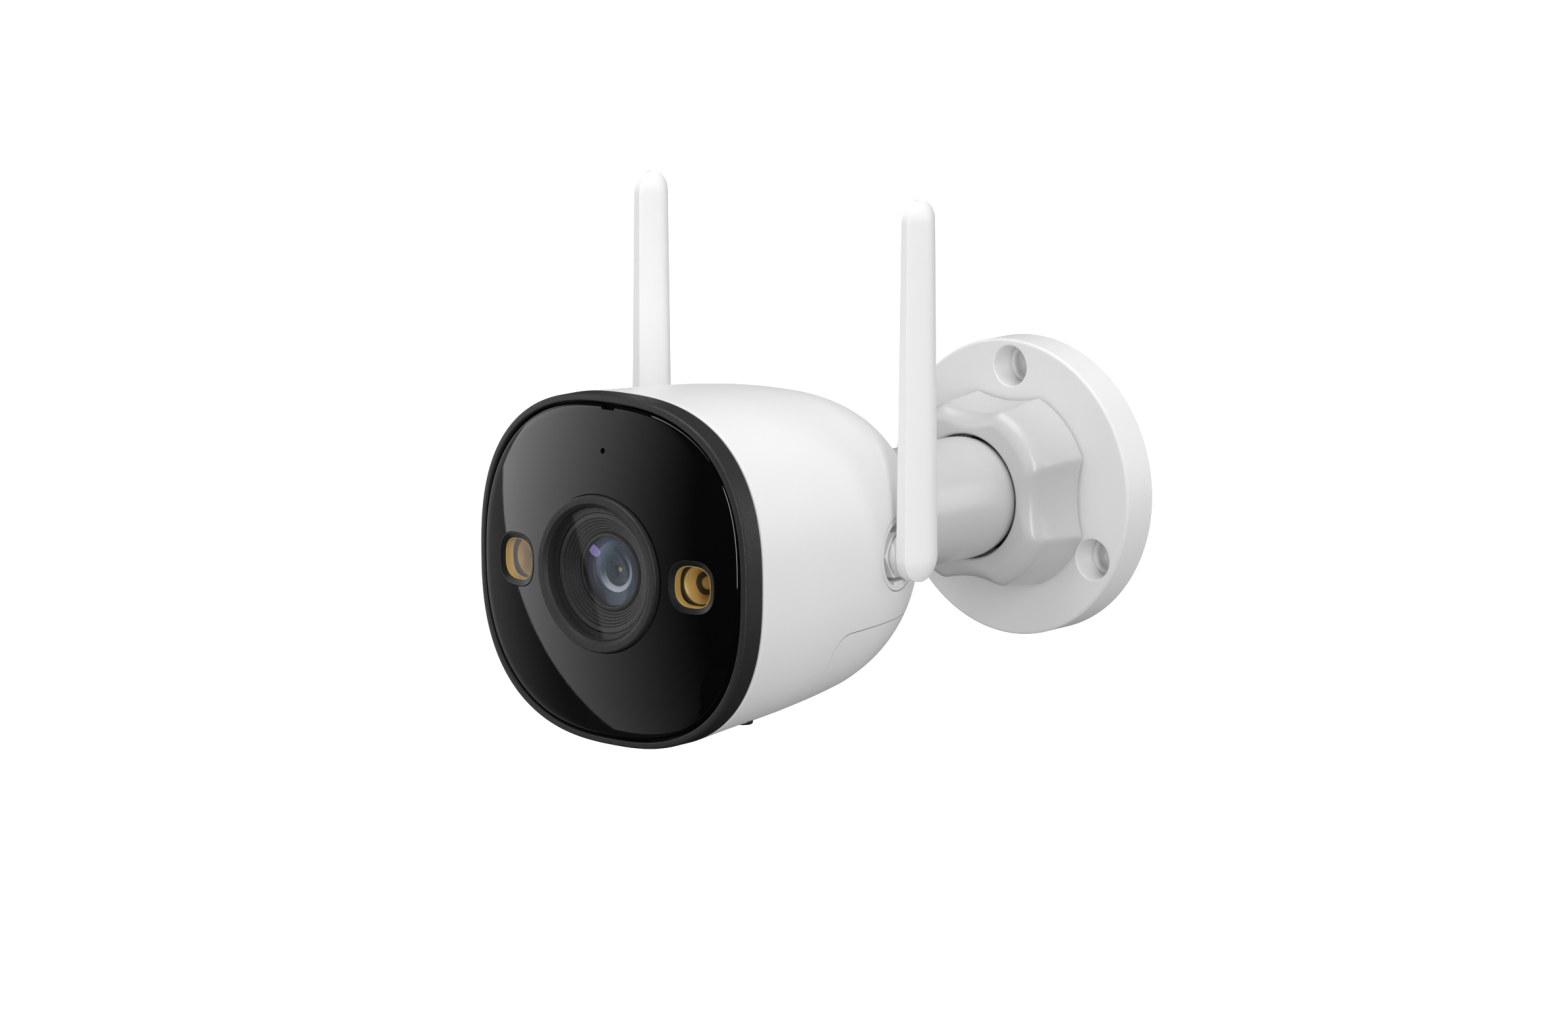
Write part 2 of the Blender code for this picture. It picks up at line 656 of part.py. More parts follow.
def body_depth_below(x, out):
    """How far below the axis the body's outside is, at a place under it."""
    share = (BODY_FRONT_OUT - out) / (BODY_FRONT_OUT - BODY_BACK_OUT)
    half_width, half_height, exponent = body_section(share)
    return half_height * (1 - (abs(x) / half_width) ** exponent) ** (1 / exponent)


def build_body(body):
    shell = add_shell("body_shell", "white_plastic", body)
    boolean(shell, hatch_region("hatch_opening", 0.0, body))
    hatch = add_shell("service_hatch", "white_plastic", body)
    boolean(hatch, hatch_region("hatch_outline", GAP, body), "INTERSECT")
    past = 4.0 * MM
    low, high = swivel_side() - SOCKET_DEPTH - past, swivel_side() + past
    for side, sign in (("left", -1), ("right", 1)):
        hole = cylinder(f"pocket_hole_{side}", SOCKET_RADIUS + GAP, low, high, None, body, ROUND,
                        (0, 0, ANTENNA_OUT), (0, math.radians(90 * sign), 0))
        boolean(shell, hole)
        depth = body_depth_below(HATCH_SCREW_X, HATCH_SCREW_OUT)
        x = sign * HATCH_SCREW_X
        boolean(hatch, downward_screw_cut(f"hatch_screw_hole_{side}", x, HATCH_SCREW_OUT, depth, body))
        downward_screw(f"hatch_screw_{side}", x, HATCH_SCREW_OUT, depth, body)
        depth = body_depth_below(CASE_SCREW_X, CASE_SCREW_OUT) - 0.4 * MM
        x = sign * CASE_SCREW_X
        boolean(shell, downward_screw_cut(f"case_screw_hole_{side}", x, CASE_SCREW_OUT, depth, body, 0.0))
        downward_screw(f"case_screw_{side}", x, CASE_SCREW_OUT, depth, body, 0.0, 3.6 * MM)
        place = (sign * DRAIN_X, -body_depth_below(DRAIN_X, DRAIN_OUT), DRAIN_OUT)
        boolean(shell, cylinder(f"drain_hole_{side}", DRAIN_RADIUS, -5 * MM, 5 * MM, None, body, 16,
                                place, (math.radians(90), 0, 0)))
    for i in range(7):
        angle = math.radians(60 * i)
        reach = 0.0 if i == 6 else 3.0 * MM
        place = (reach * math.cos(angle), -BODY_HALF_HEIGHT, SPEAKER_OUT + reach * math.sin(angle))
        boolean(shell, cylinder(f"speaker_hole_{i}", SPEAKER_HOLE_RADIUS, -6 * MM, 6 * MM, None, body, 12,
                                place, (math.radians(90), 0, 0)))


def build_bezel(body):
    back = BODY_FRONT_OUT + GAP
    front = back + BEZEL_DEPTH
    half = BODY_HALF_WIDTH
    inner = half - BEZEL_LIP
    aspect = BODY_HALF_HEIGHT / BODY_HALF_WIDTH
    corner_reach = max(math.hypot(p.x, p.y) for p in squircle(inner, inner * aspect, BODY_SQUARENESS, 0.0))
    ledge = panel_surface(corner_reach) - PANEL_THICK - SEAL_THICK - 2 * GAP
    plug = half - WALL - 2 * GAP
    rim = corner((half - BEZEL_ROUND, front - BEZEL_ROUND), BEZEL_ROUND, 90, 0, 4)
    section = rim + [
        (half, back),
        (plug, back),
        (plug, back - BEZEL_SKIRT),
        (inner - 3.0 * MM, back - BEZEL_SKIRT),
        (inner - 3.0 * MM, ledge),
        (inner, ledge),
        (inner, front - 0.3 * MM),
        (inner + 0.2 * MM, front),
    ]
    squircle_ring("bezel", section, BODY_SQUARENESS, "black_plastic", body, aspect)
    seal_out = inner - 0.8 * MM
    squircle_ring("front_seal", [
        (seal_out, ledge + GAP + SEAL_THICK),
        (seal_out, ledge + GAP),
        (seal_out - 1.5 * MM, ledge + GAP),
        (seal_out - 1.5 * MM, ledge + GAP + SEAL_THICK),
    ], BODY_SQUARENESS, "rubber", body, aspect)


def build_panel(body):
    half = PANEL_HALF_WIDTH
    aspect = BODY_HALF_HEIGHT / BODY_HALF_WIDTH
    shares = (0.02, 0.45, 0.75, 1.0)

    def dome_ring(share, drop):
        ring = squircle(half * share, half * share * aspect, BODY_SQUARENESS, 0.0)
        for point in ring:
            point.z = panel_surface(math.hypot(point.x, point.y)) - drop
        return ring

    rings = [dome_ring(share, 0.0) for share in shares]
    rings += [dome_ring(share, PANEL_THICK) for share in reversed(shares)]
    panel = loft("front_panel", rings, "black_gloss", body)
    low, high = PANEL_APEX_OUT - 12 * MM, PANEL_APEX_OUT + 3 * MM
    boolean(panel, cylinder("lens_opening", RING_RADIUS + GAP, low, high, None, body, FINE))
    boolean(panel, cylinder("mic_opening", MIC_HOLE_RADIUS, low, high, None, body, 12, (0, MIC_UP, 0)))
    top = half * aspect
    notch = [Vector((x, y, high)) for x, y in (
        (-NOTCH_WIDTH / 2 + NOTCH_DEPTH / 2, top - NOTCH_DEPTH), (NOTCH_WIDTH / 2 - NOTCH_DEPTH / 2, top - NOTCH_DEPTH),
        (NOTCH_WIDTH / 2 + NOTCH_DEPTH / 2, top + NOTCH_DEPTH), (-NOTCH_WIDTH / 2 - NOTCH_DEPTH / 2, top + NOTCH_DEPTH))]
    rings = [notch, [point - Vector((0, 0, high - low)) for point in notch]]
    boolean(panel, loft("notch_cut", rings, None, body))
    return panel


def build_lights(body, panel):
    slope = math.asin(LIGHT_OFFSET / PANEL_DOME_RADIUS)
    for side, sign in (("left", -1), ("right", 1)):
        place = (sign * LIGHT_OFFSET, 0, panel_surface(LIGHT_OFFSET) - BALL_OUT)
        light = make_empty(f"light_{side}", body.parent, place, (0, sign * slope, 0))
        cut_half = LIGHT_HALF + GAP
        cut = [squircle(cut_half, cut_half, LIGHT_SQUARENESS, z, MEDIUM) for z in (3 * MM, -5 * MM)]
        boolean(panel, loft(f"light_opening_{side}", cut, None, light))
        glass_seat = -2.0 * MM
        squircle_ring(f"light_frame_{side}", [
            (LIGHT_HALF - 0.2 * MM, 0.0),
            (LIGHT_HALF, -0.2 * MM),
            (LIGHT_HALF, -3.2 * MM),
            (LIGHT_GLASS_HALF - 0.5 * MM, -3.2 * MM),
            (LIGHT_GLASS_HALF - 0.5 * MM, glass_seat),
            (LIGHT_GLASS_HALF + GAP, glass_seat),
            (LIGHT_GLASS_HALF + GAP, -1.0 * MM),
        ], LIGHT_SQUARENESS, "black_plastic", light, count=MEDIUM)
        glass = [squircle(LIGHT_GLASS_HALF, LIGHT_GLASS_HALF, LIGHT_SQUARENESS, z, MEDIUM)
                 for z in (glass_seat + GAP + 0.8 * MM, glass_seat + GAP)]
        loft(f"light_window_{side}", glass, "clear", light)
        top = -3.2 * MM - GAP
        bottom = top - REFLECTOR_DEPTH
        turned(f"light_reflector_{side}", [
            (4.7 * MM, top), (4.7 * MM, top - 0.8 * MM), (2.4 * MM, bottom), (1.5 * MM, bottom),
            (1.9 * MM, bottom + 0.9 * MM), (4.2 * MM, top),
        ], "amber", light, MEDIUM)
        box(f"light_emitter_{side}", (3.0 * MM, 3.0 * MM, 0.7 * MM), (0, 0, bottom - GAP - 0.35 * MM),
            "yellow_phosphor", light)
        box(f"light_board_{side}", (10.5 * MM, 12 * MM, 1.0 * MM), (0, 0, bottom - 2 * GAP - 1.2 * MM),
            "circuit_board", light)


def build_lens(body):
    back = RING_OUT - RING_DEPTH
    window_seat = RING_OUT - 2.4 * MM
    bore = CONE_RADIUS + GAP
    glass_bore = WINDOW_RADIUS + GAP
    turned("lens_ring", [
        (RING_RADIUS - 0.3 * MM, RING_OUT),
        (RING_RADIUS, RING_OUT - 0.3 * MM),
        (RING_RADIUS, back),
        (bore, back),
        (bore, window_seat),
        (glass_bore, window_seat),
        (glass_bore, RING_OUT - 0.6 * MM),
        (glass_bore + 0.6 * MM, RING_OUT),
    ], "black_plastic", body, FINE)
    window_back = window_seat + GAP
    turned("lens_window", [
        (0, window_back + WINDOW_THICK),
        (WINDOW_RADIUS, window_back + WINDOW_THICK),
        (WINDOW_RADIUS, window_back),
        (0, window_back),
    ], "clear", body, FINE)
    cone_top = window_seat - GAP
    cone_bottom = back - 1.4 * MM
    inner = BARREL_RADIUS + GAP
    first = CONE_RADIUS - 0.7 * MM
    drop = 1.9 * MM
    ribs = []
    for i in range(CONE_RIBS):
        share = i / CONE_RIBS
        radius = inner + (first - inner) * share
        z = cone_top - drop * (1 - share)
        ribs += [(radius, z), (radius + (first - inner) / CONE_RIBS * 0.55, z)]
    turned("lens_cone", [(CONE_RADIUS, cone_top), (CONE_RADIUS, cone_bottom), (inner, cone_bottom)] + ribs
           + [(first, cone_top)], "black_plastic", body)
    barrel_front = RING_OUT - 4.3 * MM
    barrel_back = barrel_front - BARREL_LENGTH
    element_seat = barrel_front - 1.2 * MM
    turned("lens_barrel", [
        (BARREL_RADIUS - 0.2 * MM, barrel_front),
        (BARREL_RADIUS, barrel_front - 0.2 * MM),
        (BARREL_RADIUS, barrel_back),
        (4.0 * MM, barrel_back),
        (4.0 * MM, element_seat - 1.5 * MM),
        (5.6 * MM, element_seat),
        (ELEMENT_RADIUS + GAP, element_seat),
        (ELEMENT_RADIUS + GAP, barrel_front),
    ], "black_plastic", body)
    edge = element_seat + GAP + 0.4 * MM
    bow = (ELEMENT_RADIUS**2 + ELEMENT_RISE**2) / (2 * ELEMENT_RISE)
    half_angle = math.asin(ELEMENT_RADIUS / bow)
    dome = [(bow * math.sin(a), edge + ELEMENT_RISE - bow + bow * math.cos(a))
            for a in np.linspace(0, half_angle, 5)]
    turned("front_element", dome + [(ELEMENT_RADIUS, element_seat + GAP), (0, element_seat + GAP)],
           "lens_glass", body)
    return barrel_back


# ---- inside ---------------------------------------------------------------
def build_sensor(body, filter_slide, barrel_back):
    low = SENSOR_BOARD_OUT + BOARD + GAP
    high = barrel_back + 3.5 * MM
    half_x, half_y = HOLDER_HALF
    holder = box("lens_holder", (2 * half_x, 2 * half_y, high - low), (0, 0, (high + low) / 2), "black_plastic", body)
    boolean(holder, cylinder("holder_bore", BARREL_RADIUS + GAP, barrel_back - 0.5 * MM, high + MM, None, body, SMALL))
    slot_low, slot_high = low + 3.6 * MM, low + 5.4 * MM
    boolean(holder, box("holder_slot", (3 * half_x, 11.2 * MM, slot_high - slot_low),
                        (0, 0, (slot_low + slot_high) / 2), None, body))
    boolean(holder, box("holder_chamber", (12 * MM, 10 * MM, barrel_back - low),
                        (0, 0, (barrel_back + low) / 2 - 0.25 * MM), None, body))
    box("ir_cut_filter", (20 * MM, 10 * MM, 0.8 * MM), (0, 0, 0), "lens_glass", filter_slide)
    filter_slide.location.z = (slot_low + slot_high) / 2
    coil_x = half_x + GAP + 3 * MM
    turned("filter_coil", [(2.8 * MM, 4 * MM), (2.8 * MM, -4 * MM), (1.2 * MM, -4 * MM), (1.2 * MM, 4 * MM)],
           "copper_coil", body, SMALL, (coil_x, 0, high - 3.5 * MM), (math.radians(90), 0, 0))
    box("image_sensor", (8 * MM, 6.5 * MM, 1.2 * MM), (0, 0, low + 0.6 * MM), "black_gloss", body)
    box("sensor_board", (36 * MM, 30 * MM, BOARD), (0, 0, SENSOR_BOARD_OUT + BOARD / 2), "circuit_board", body)


def build_boards(body):
    box("main_board", (46 * MM, 40 * MM, BOARD), (0, 0, MAIN_BOARD_OUT + BOARD / 2), "circuit_board", body)
    low, high = MAIN_BOARD_OUT + BOARD + GAP, SENSOR_BOARD_OUT - GAP
    for side, sign in (("left", -1), ("right", 1)):
        cylinder(f"board_post_{side}", POST_RADIUS, low, high, "brass", body, 6, (sign * POST_X, POST_Y, 0))
    spread = 2 * (POST_X - POST_RADIUS - 2 * GAP)
    box("heat_spreader", (spread, 22 * MM, 1.5 * MM), (0, 0, (low + high) / 2), "aluminium", body, 0.3 * MM)


def build_sound(body):
    mic_front = panel_surface(MIC_UP) - PANEL_THICK - 2 * GAP
    turned("microphone", [(0, mic_front), (2.3 * MM, mic_front), (2.3 * MM, mic_front - 2.8 * MM),
                          (0, mic_front - 2.8 * MM)], "aluminium", body, SMALL, (0, MIC_UP, 0))
    sensor_front = panel_surface(SENSOR_DOWN) - PANEL_THICK - 2 * GAP
    turned("light_sensor", [(0, sensor_front), (2.0 * MM, sensor_front - 0.8 * MM),
                            (2.0 * MM, sensor_front - 3.2 * MM), (0, sensor_front - 3.2 * MM)],
           "clear", body, SMALL, (0, -SENSOR_DOWN, 0))
    floor = body_depth_below(SPEAKER_RADIUS, SPEAKER_OUT) - WALL
    downward = (math.radians(90), 0, 0)
    place = (0, 0, SPEAKER_OUT)
    seal_low = floor - 2 * GAP
    seal_high = seal_low - 1.2 * MM
    turned("speaker_seal", [(SPEAKER_RADIUS - 0.3 * MM, seal_low), (SPEAKER_RADIUS - 0.3 * MM, seal_high),
                            (SPEAKER_RADIUS - 1.8 * MM, seal_high), (SPEAKER_RADIUS - 1.8 * MM, seal_low)],
           "rubber", body, SMALL, place, downward)
    top = seal_high - GAP
    turned("speaker", [(0, top), (SPEAKER_RADIUS, top), (SPEAKER_RADIUS, top - 2 * MM),
                       (SPEAKER_RADIUS - 2.5 * MM, top - 4.2 * MM), (0, top - 4.2 * MM)],
           "grey_plastic", body, ROUND, place, downward)


def build_service(body, card, button):
    board_low = SERVICE_BOARD_UP - BOARD
    back, front = HATCH_BACK_OUT + 8 * MM, MAIN_BOARD_OUT - 0.8 * MM
    middle = (back + front) / 2
    box("service_board", (36 * MM, BOARD, front - back), (0, SERVICE_BOARD_UP - BOARD / 2, middle),
        "circuit_board", body)
    long, wide, thick = CARD
    wall = 0.5 * MM
    height = thick + 2 * wall + 2 * GAP
    socket_up = board_low - GAP - height / 2
    socket_x = 5.0 * MM
    socket = box("card_socket", (long + 2 * wall, height, wide + 2 * wall + 2 * GAP), (socket_x, socket_up, middle),
                 "steel", body)
    boolean(socket, box("card_space", (long + 2 * wall, thick + 2 * GAP, wide + 2 * GAP),
                        (socket_x + 2 * wall, socket_up, middle), None, body))
    card.location = (socket_x + wall + GAP, socket_up, middle - BALL_OUT)
    box("memory_card", (long, thick, wide), (0, 0, 0), "black_plastic", card)
    switch_x = -11.0 * MM
    switch_low = board_low - GAP - 2.6 * MM
    switch = box("reset_switch", (6 * MM, 2.6 * MM, 6 * MM), (switch_x, board_low - GAP - 1.3 * MM, middle),
                 "black_plastic", body)
    boolean(switch, cylinder("switch_bore", 1.6 * MM + RUN, -2.2 * MM, 4 * MM, None, body, SMALL,
                             (switch_x, switch_low, middle), (math.radians(90), 0, 0)))
    button.location = (switch_x, switch_low, middle - BALL_OUT)
    cylinder("reset_button", 1.6 * MM, -1.4 * MM, 1.2 * MM, "grey_plastic", button, SMALL,
             rotation=(math.radians(90), 0, 0))


# ---- antennas -------------------------------------------------------------
def blade_outline(inset, offset, lift):
    """A stadium that narrows to the tip, in from its edge by inset; x is offset plus half the edge's thickness."""
    steps = 9
    points = []
    for centre, radius, start in ((0.0, ANTENNA_BASE_RADIUS, math.pi), (ANTENNA_LENGTH, ANTENNA_TIP_RADIUS, 0.0)):
        for i in range(steps + 1):
            angle = start + math.pi * i / steps
            y = centre + (radius - inset * radius / ANTENNA_BASE_RADIUS) * math.sin(angle)
            z = (radius - inset * radius / ANTENNA_BASE_RADIUS) * math.cos(angle)
            share = min(max(y / ANTENNA_LENGTH, 0), 1)
            edge = ANTENNA_EDGE_BASE + (ANTENNA_EDGE_TIP - ANTENNA_EDGE_BASE) * share
            points.append(Vector((offset * edge / 2 + lift, y, -z)))
    return points


def build_antenna(side, sign, pivot, body, envelope):
    insets = (0.0, 0.2, 0.45, 0.75, 0.97)
    flank = swivel_side()
    blade_x = flank + ANTENNA_STANDOFF
    socket_back = flank - SOCKET_DEPTH
    floor_top = socket_back + SOCKET_FLOOR
    collar_top = flank + COLLAR_PROUD
    across = (0, math.radians(90), 0)
    turn = (0, math.radians(90 * sign), 0)
    place = (0, 0, ANTENNA_OUT)

    def crown(share):
        return ANTENNA_CROWN * (1 - (1 - share) ** 2)

    outer = [blade_outline(ANTENNA_BASE_RADIUS * s, 1, crown(s)) for s in reversed(insets)]
    inner = [blade_outline(ANTENNA_BASE_RADIUS * s, -1, -crown(s)) for s in insets]
    blade = loft(f"antenna_{side}", outer + inner, "white_plastic", pivot)
    hub_low = collar_top + GAP - blade_x
    stem_low = socket_back - 2.5 * CLIP_THICK - blade_x
    hub = turned(f"antenna_hub_{side}", [
        (0, -ANTENNA_EDGE_BASE / 2), (HUB_RADIUS, -ANTENNA_EDGE_BASE / 2),
        (HUB_RADIUS, hub_low), (STEM_RADIUS, hub_low), (STEM_RADIUS, stem_low), (0, stem_low),
    ], None, pivot, ROUND, (0, 0, 0), across)
    boolean(blade, hub, "UNION")
    clip_high = socket_back - GAP - blade_x
    clip_low = clip_high - CLIP_THICK
    clip_radius = STEM_RADIUS + 1.6 * MM
    turned(f"antenna_clip_{side}", [
        (clip_radius, clip_high), (clip_radius, clip_low),
        (STEM_RADIUS + GAP, clip_low), (STEM_RADIUS + GAP, clip_high),
    ], "steel", pivot, SMALL, (0, 0, 0), across)
    collar_bore = cylinder(f"collar_bore_{side}", STEM_RADIUS + GAP, socket_back - MM, blade_x, None, body,
                           ROUND, place, turn)
    collar = cylinder(f"antenna_collar_{side}", COLLAR_RADIUS, floor_top + GAP, collar_top, "white_plastic",
                      body, 6, place, turn)
    boolean(collar, collar_bore)
    socket = cylinder(f"antenna_socket_{side}", SOCKET_RADIUS, socket_back, blade_x, "white_plastic", body,
                      ROUND, place, turn)
    boolean(socket, cylinder(f"socket_hollow_{side}", SOCKET_RADIUS - SOCKET_WALL, floor_top, blade_x, None,
                             body, ROUND, place, turn))
    boolean(socket, collar_bore)
    boolean(socket, envelope, "INTERSECT")
    stop_low, stop_high = socket_back + SOCKET_FLOOR / 2, flank - STOP_DEPTH
    stop_height = 1.6 * MM
    stop = box(f"socket_stop_{side}", (stop_high - stop_low, stop_height, 3.2 * MM),
               (sign * (stop_high + stop_low) / 2, -(COLLAR_RADIUS + GAP + stop_height / 2), ANTENNA_OUT),
               None, body)
    boolean(socket, stop, "UNION")


# ---- assembly -------------------------------------------------------------
def main():
    wall = make_empty("wall", rotation=(math.radians(90), 0, 0))
    nut = make_empty("nut_axis", wall)
    swing = make_empty("ball_centre_swing", wall, (0, 0, BALL_OUT))
    tilt = make_empty("ball_centre_tilt", swing)
    camera = make_empty("ball_centre_roll", tilt)
    body = make_empty("body_datum", camera, (0, 0, -BALL_OUT))

    build_wall_plate(wall)
    build_lock_nut(nut)
    build_ball_joint(wall, swing, tilt)
    build_neck(camera)
    build_body(body)
    build_bezel(body)
    panel = build_panel(body)
    build_lights(body, panel)
    barrel_back = build_lens(body)
    filter_slide = make_empty("filter_slide", body)
    build_sensor(body, filter_slide, barrel_back)
    build_boards(body)
    build_sound(body)
    card = make_empty("card_slide", camera)
    button = make_empty("button_slide", camera)
    build_service(body, card, button)

    envelope = loft("body_envelope", body_rings(0.6 * MM), None, body)
    for side, sign in (("left", -1), ("right", 1)):
        place = (sign * (swivel_side() + ANTENNA_STANDOFF), 0, ANTENNA_OUT - BALL_OUT)
        pivot = make_empty(f"antenna_pivot_{side}", camera, place)
        if sign < 0:
            pivot.rotation_euler = (0, math.pi, 0)
        build_antenna(side, sign, pivot, body, envelope)


clear_scene()
PARTS = make_collection("security_camera")
CUTTERS = make_collection("cutters")
main()
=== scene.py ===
"""Looks of the security camera: its fine surfaces, materials, studio light and view.

A piece is drawn in a local frame whose x is world X, y is up and z is the distance out from the wall,
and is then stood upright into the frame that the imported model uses.
"""

import json
from math import asin, atan2, copysign, cos, degrees, hypot, pi, radians, remainder, sin, sqrt, tan

import bmesh
import bpy
import numpy as np
from mathutils import Matrix, Vector


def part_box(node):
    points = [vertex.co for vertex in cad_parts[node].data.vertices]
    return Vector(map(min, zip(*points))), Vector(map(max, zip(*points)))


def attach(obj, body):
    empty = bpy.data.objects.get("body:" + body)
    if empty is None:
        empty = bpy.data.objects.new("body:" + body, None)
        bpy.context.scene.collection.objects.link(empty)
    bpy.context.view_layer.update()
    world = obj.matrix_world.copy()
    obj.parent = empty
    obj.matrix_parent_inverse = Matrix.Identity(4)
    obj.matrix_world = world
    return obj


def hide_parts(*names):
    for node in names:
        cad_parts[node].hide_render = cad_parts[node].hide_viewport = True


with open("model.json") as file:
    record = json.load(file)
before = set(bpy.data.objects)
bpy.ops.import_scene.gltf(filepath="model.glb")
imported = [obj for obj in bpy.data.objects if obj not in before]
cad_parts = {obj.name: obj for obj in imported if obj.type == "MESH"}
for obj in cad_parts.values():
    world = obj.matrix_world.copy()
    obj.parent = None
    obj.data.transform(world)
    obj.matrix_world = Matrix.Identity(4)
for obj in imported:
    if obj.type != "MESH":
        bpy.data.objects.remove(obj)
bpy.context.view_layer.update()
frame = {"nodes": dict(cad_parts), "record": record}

MM = 0.001
UPRIGHT = Matrix.Rotation(radians(90), 4, "X")
SLOT_OF = {part["node"]: part["material_slot"] for part in frame["record"]["subparts"]}
BODY_OF = {node: body for body, nodes in frame["record"]["behaviour"]["bodies"].items() for node in nodes}
SIDES = (("left", -1), ("right", 1))


def span(node):
    """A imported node's lowest and highest corners in the local frame."""
    low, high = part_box(node)
    return Vector((low.x, low.z, -high.y)), Vector((high.x, high.z, -low.y))


def middle_of(node):
    low, high = span(node)
    return (low + high) / 2


# ---- sizes ----------------------------------------------------------------
SEAM = 0.22 * MM                   # width of a seam between two covers
FINE = 144                         # steps round a large ring, a middling one and a small one
ROUND = 72
SMALL = 32
QUARTER = pi / 2

PLATE_RADIUS = span("wall_plate")[1].x
PLATE_THICK = 9.0 * MM
PLATE_FLOOR = 4.0 * MM
BOSS_OUT = span("wall_plate")[1].z
SCREW_HEAD_RADIUS = 4.5 * MM
SCREW_STEP_RADIUS = 3.3 * MM
SCREW_HOLE_RADIUS = 2.3 * MM
SCREW_CIRCLE = PLATE_RADIUS - SCREW_HEAD_RADIUS - 1.5 * MM

NUT_BACK = span("lock_nut")[0].z
NUT_FRONT = span("lock_nut")[1].z
NUT_RADIUS = span("lock_nut")[1].x / cos(radians(22.5))
NUT_SCALLOP_RADIUS = 28.4 * MM
NUT_TAPER = 0.93
NUT_ROUND = 3.4 * MM

NUT_WEB = 4.4 * MM
NUT_LIP = 0.7 * MM

NECK_END_RADIUS = span("neck")[1].x
NECK_RADIUS = NECK_END_RADIUS - 2.8 * MM
NECK_WALL = 2.8 * MM
NECK_PLAY = 0.33 * MM              # between the neck and the nut's opening
BOSS_BORE = NECK_RADIUS - 0.9 * MM
BOSS_RADIUS = BOSS_BORE + 4.7 * MM
THREAD_PLAY = 0.5 * MM             # between the boss and the nut's bore
NECK_SPIGOT_END = span("neck")[1].z
BALL_OUT = 26.9 * MM
BALL_OPENING = radians(43)
BODY_BACK = span("body_shell")[0].z
NECK_END = BODY_BACK - 0.4 * MM
FLARE_START = NECK_END - 14.0 * MM

BODY_FRONT = span("body_shell")[1].z
BODY_HALF_WIDTH = span("bezel")[1].x
BODY_HALF_HEIGHT = span("bezel")[1].y
BODY_ASPECT = BODY_HALF_HEIGHT / BODY_HALF_WIDTH
BODY_SQUARENESS = 2.53
BODY_WALL = 2.2 * MM
BODY_EDGE = 0.3 * MM               # rounding of the casing's front edge
BODY_STEPS = 90
NECK_END_ASPECT = 0.955
DRAIN_RADIUS = 1.2 * MM
DRAIN_ASIDE = 20.0 * MM
DRAIN_OUT = BODY_FRONT - 20.9 * MM
GRILLE_REACH = 3.0 * MM
GRILLE_HOLE_RADIUS = 0.7 * MM
BODY_TAPER = (
    (0.000, 1.000),
    (0.130, 0.971),
    (0.270, 0.948),
    (0.405, 0.914),
    (0.542, 0.864),
    (0.679, 0.782),
    (0.788, 0.641),
    (0.884, 0.393),
    (0.945, 0.161),
    (0.980, 0.054),
    (1.000, 0.000),
)

BEZEL_BACK = BODY_FRONT + 0.3 * MM
BEZEL_FRONT = span("bezel")[1].z
BEZEL_LIP = 1.5 * MM
LIP_OUT = BEZEL_FRONT - 1.0 * MM
LIP_FOLLOWS_DOME = 0.2             # 0 is a flat lip, and 1 follows the panel's edge all the way
LIP_SLOPE = 0.25 * MM
PANEL_HALF = BODY_HALF_WIDTH - BEZEL_LIP - 0.35 * MM
PANEL_THICK = 1.6 * MM
PANEL_APEX = span("front_panel")[1].z
PANEL_DOME_RADIUS = 165.0 * MM
NOTCH_WIDTH = 4.2 * MM
NOTCH_DEPTH = 1.0 * MM
MIC_UP = 25.4 * MM
MIC_HOLE_RADIUS = 0.6 * MM

RING_RADIUS = span("lens_ring")[1].x
RING_FRONT = span("lens_ring")[1].z
RING_BACK = span("lens_ring")[0].z
WINDOW_RADIUS = span("lens_window")[1].x
WINDOW_FRONT = span("lens_window")[1].z
WINDOW_BACK = span("lens_window")[0].z
BARREL_RADIUS = span("lens_barrel")[1].x
BARREL_FRONT = span("lens_barrel")[1].z
BARREL_BACK = span("lens_barrel")[0].z
ELEMENT_RADIUS = span("front_element")[1].x
ELEMENT_BACK = span("front_element")[0].z
LENS_BORE = 12.6 * MM
LENS_SEAT = WINDOW_BACK - 0.3 * MM
POCKET_RADIUS = ELEMENT_RADIUS + 0.1 * MM
LENS_LEDGE = ELEMENT_BACK - 0.75 * MM
RETAINER_RADIUS = 4.5 * MM
IRIS_RADIUS = 3.35 * MM
PUPIL_RADIUS = 0.95 * MM

LIGHT_OFFSET = middle_of("light_frame_right").x
LIGHT_HALF = 5.55 * MM
LIGHT_GLASS_HALF = 4.35 * MM
LIGHT_SQUARENESS = 2.7

ANTENNA_OUT = middle_of("antenna_right").z
ANTENNA_BASE_RADIUS = -span("antenna_right")[0].y
ANTENNA_TIP_RADIUS = 4.6 * MM
ANTENNA_LENGTH = span("antenna_right")[1].y - ANTENNA_TIP_RADIUS
ANTENNA_EDGE_BASE = 2.3 * MM
ANTENNA_EDGE_TIP = 1.5 * MM
ANTENNA_CROWN = 1.7 * MM
ANTENNA_INSETS = (0.0, 0.015, 0.04, 0.08, 0.14, 0.22, 0.32, 0.44, 0.58, 0.74, 0.88, 0.97)
ANTENNA_X = span("antenna_right")[1].x - ANTENNA_EDGE_BASE / 2 - ANTENNA_CROWN
HUB_RADIUS = 4.8 * MM
STEM_RADIUS = 3.0 * MM
STEM_BORE = STEM_RADIUS + 0.3 * MM
COLLAR_RADIUS = 5.5 * MM
COLLAR_TOP = span("antenna_collar_right")[1].x
COLLAR_BACK = span("antenna_collar_right")[0].x
SOCKET_RADIUS = span("antenna_socket_right")[1].y
SOCKET_BACK = span("antenna_socket_right")[0].x
SOCKET_WALL = 0.9 * MM

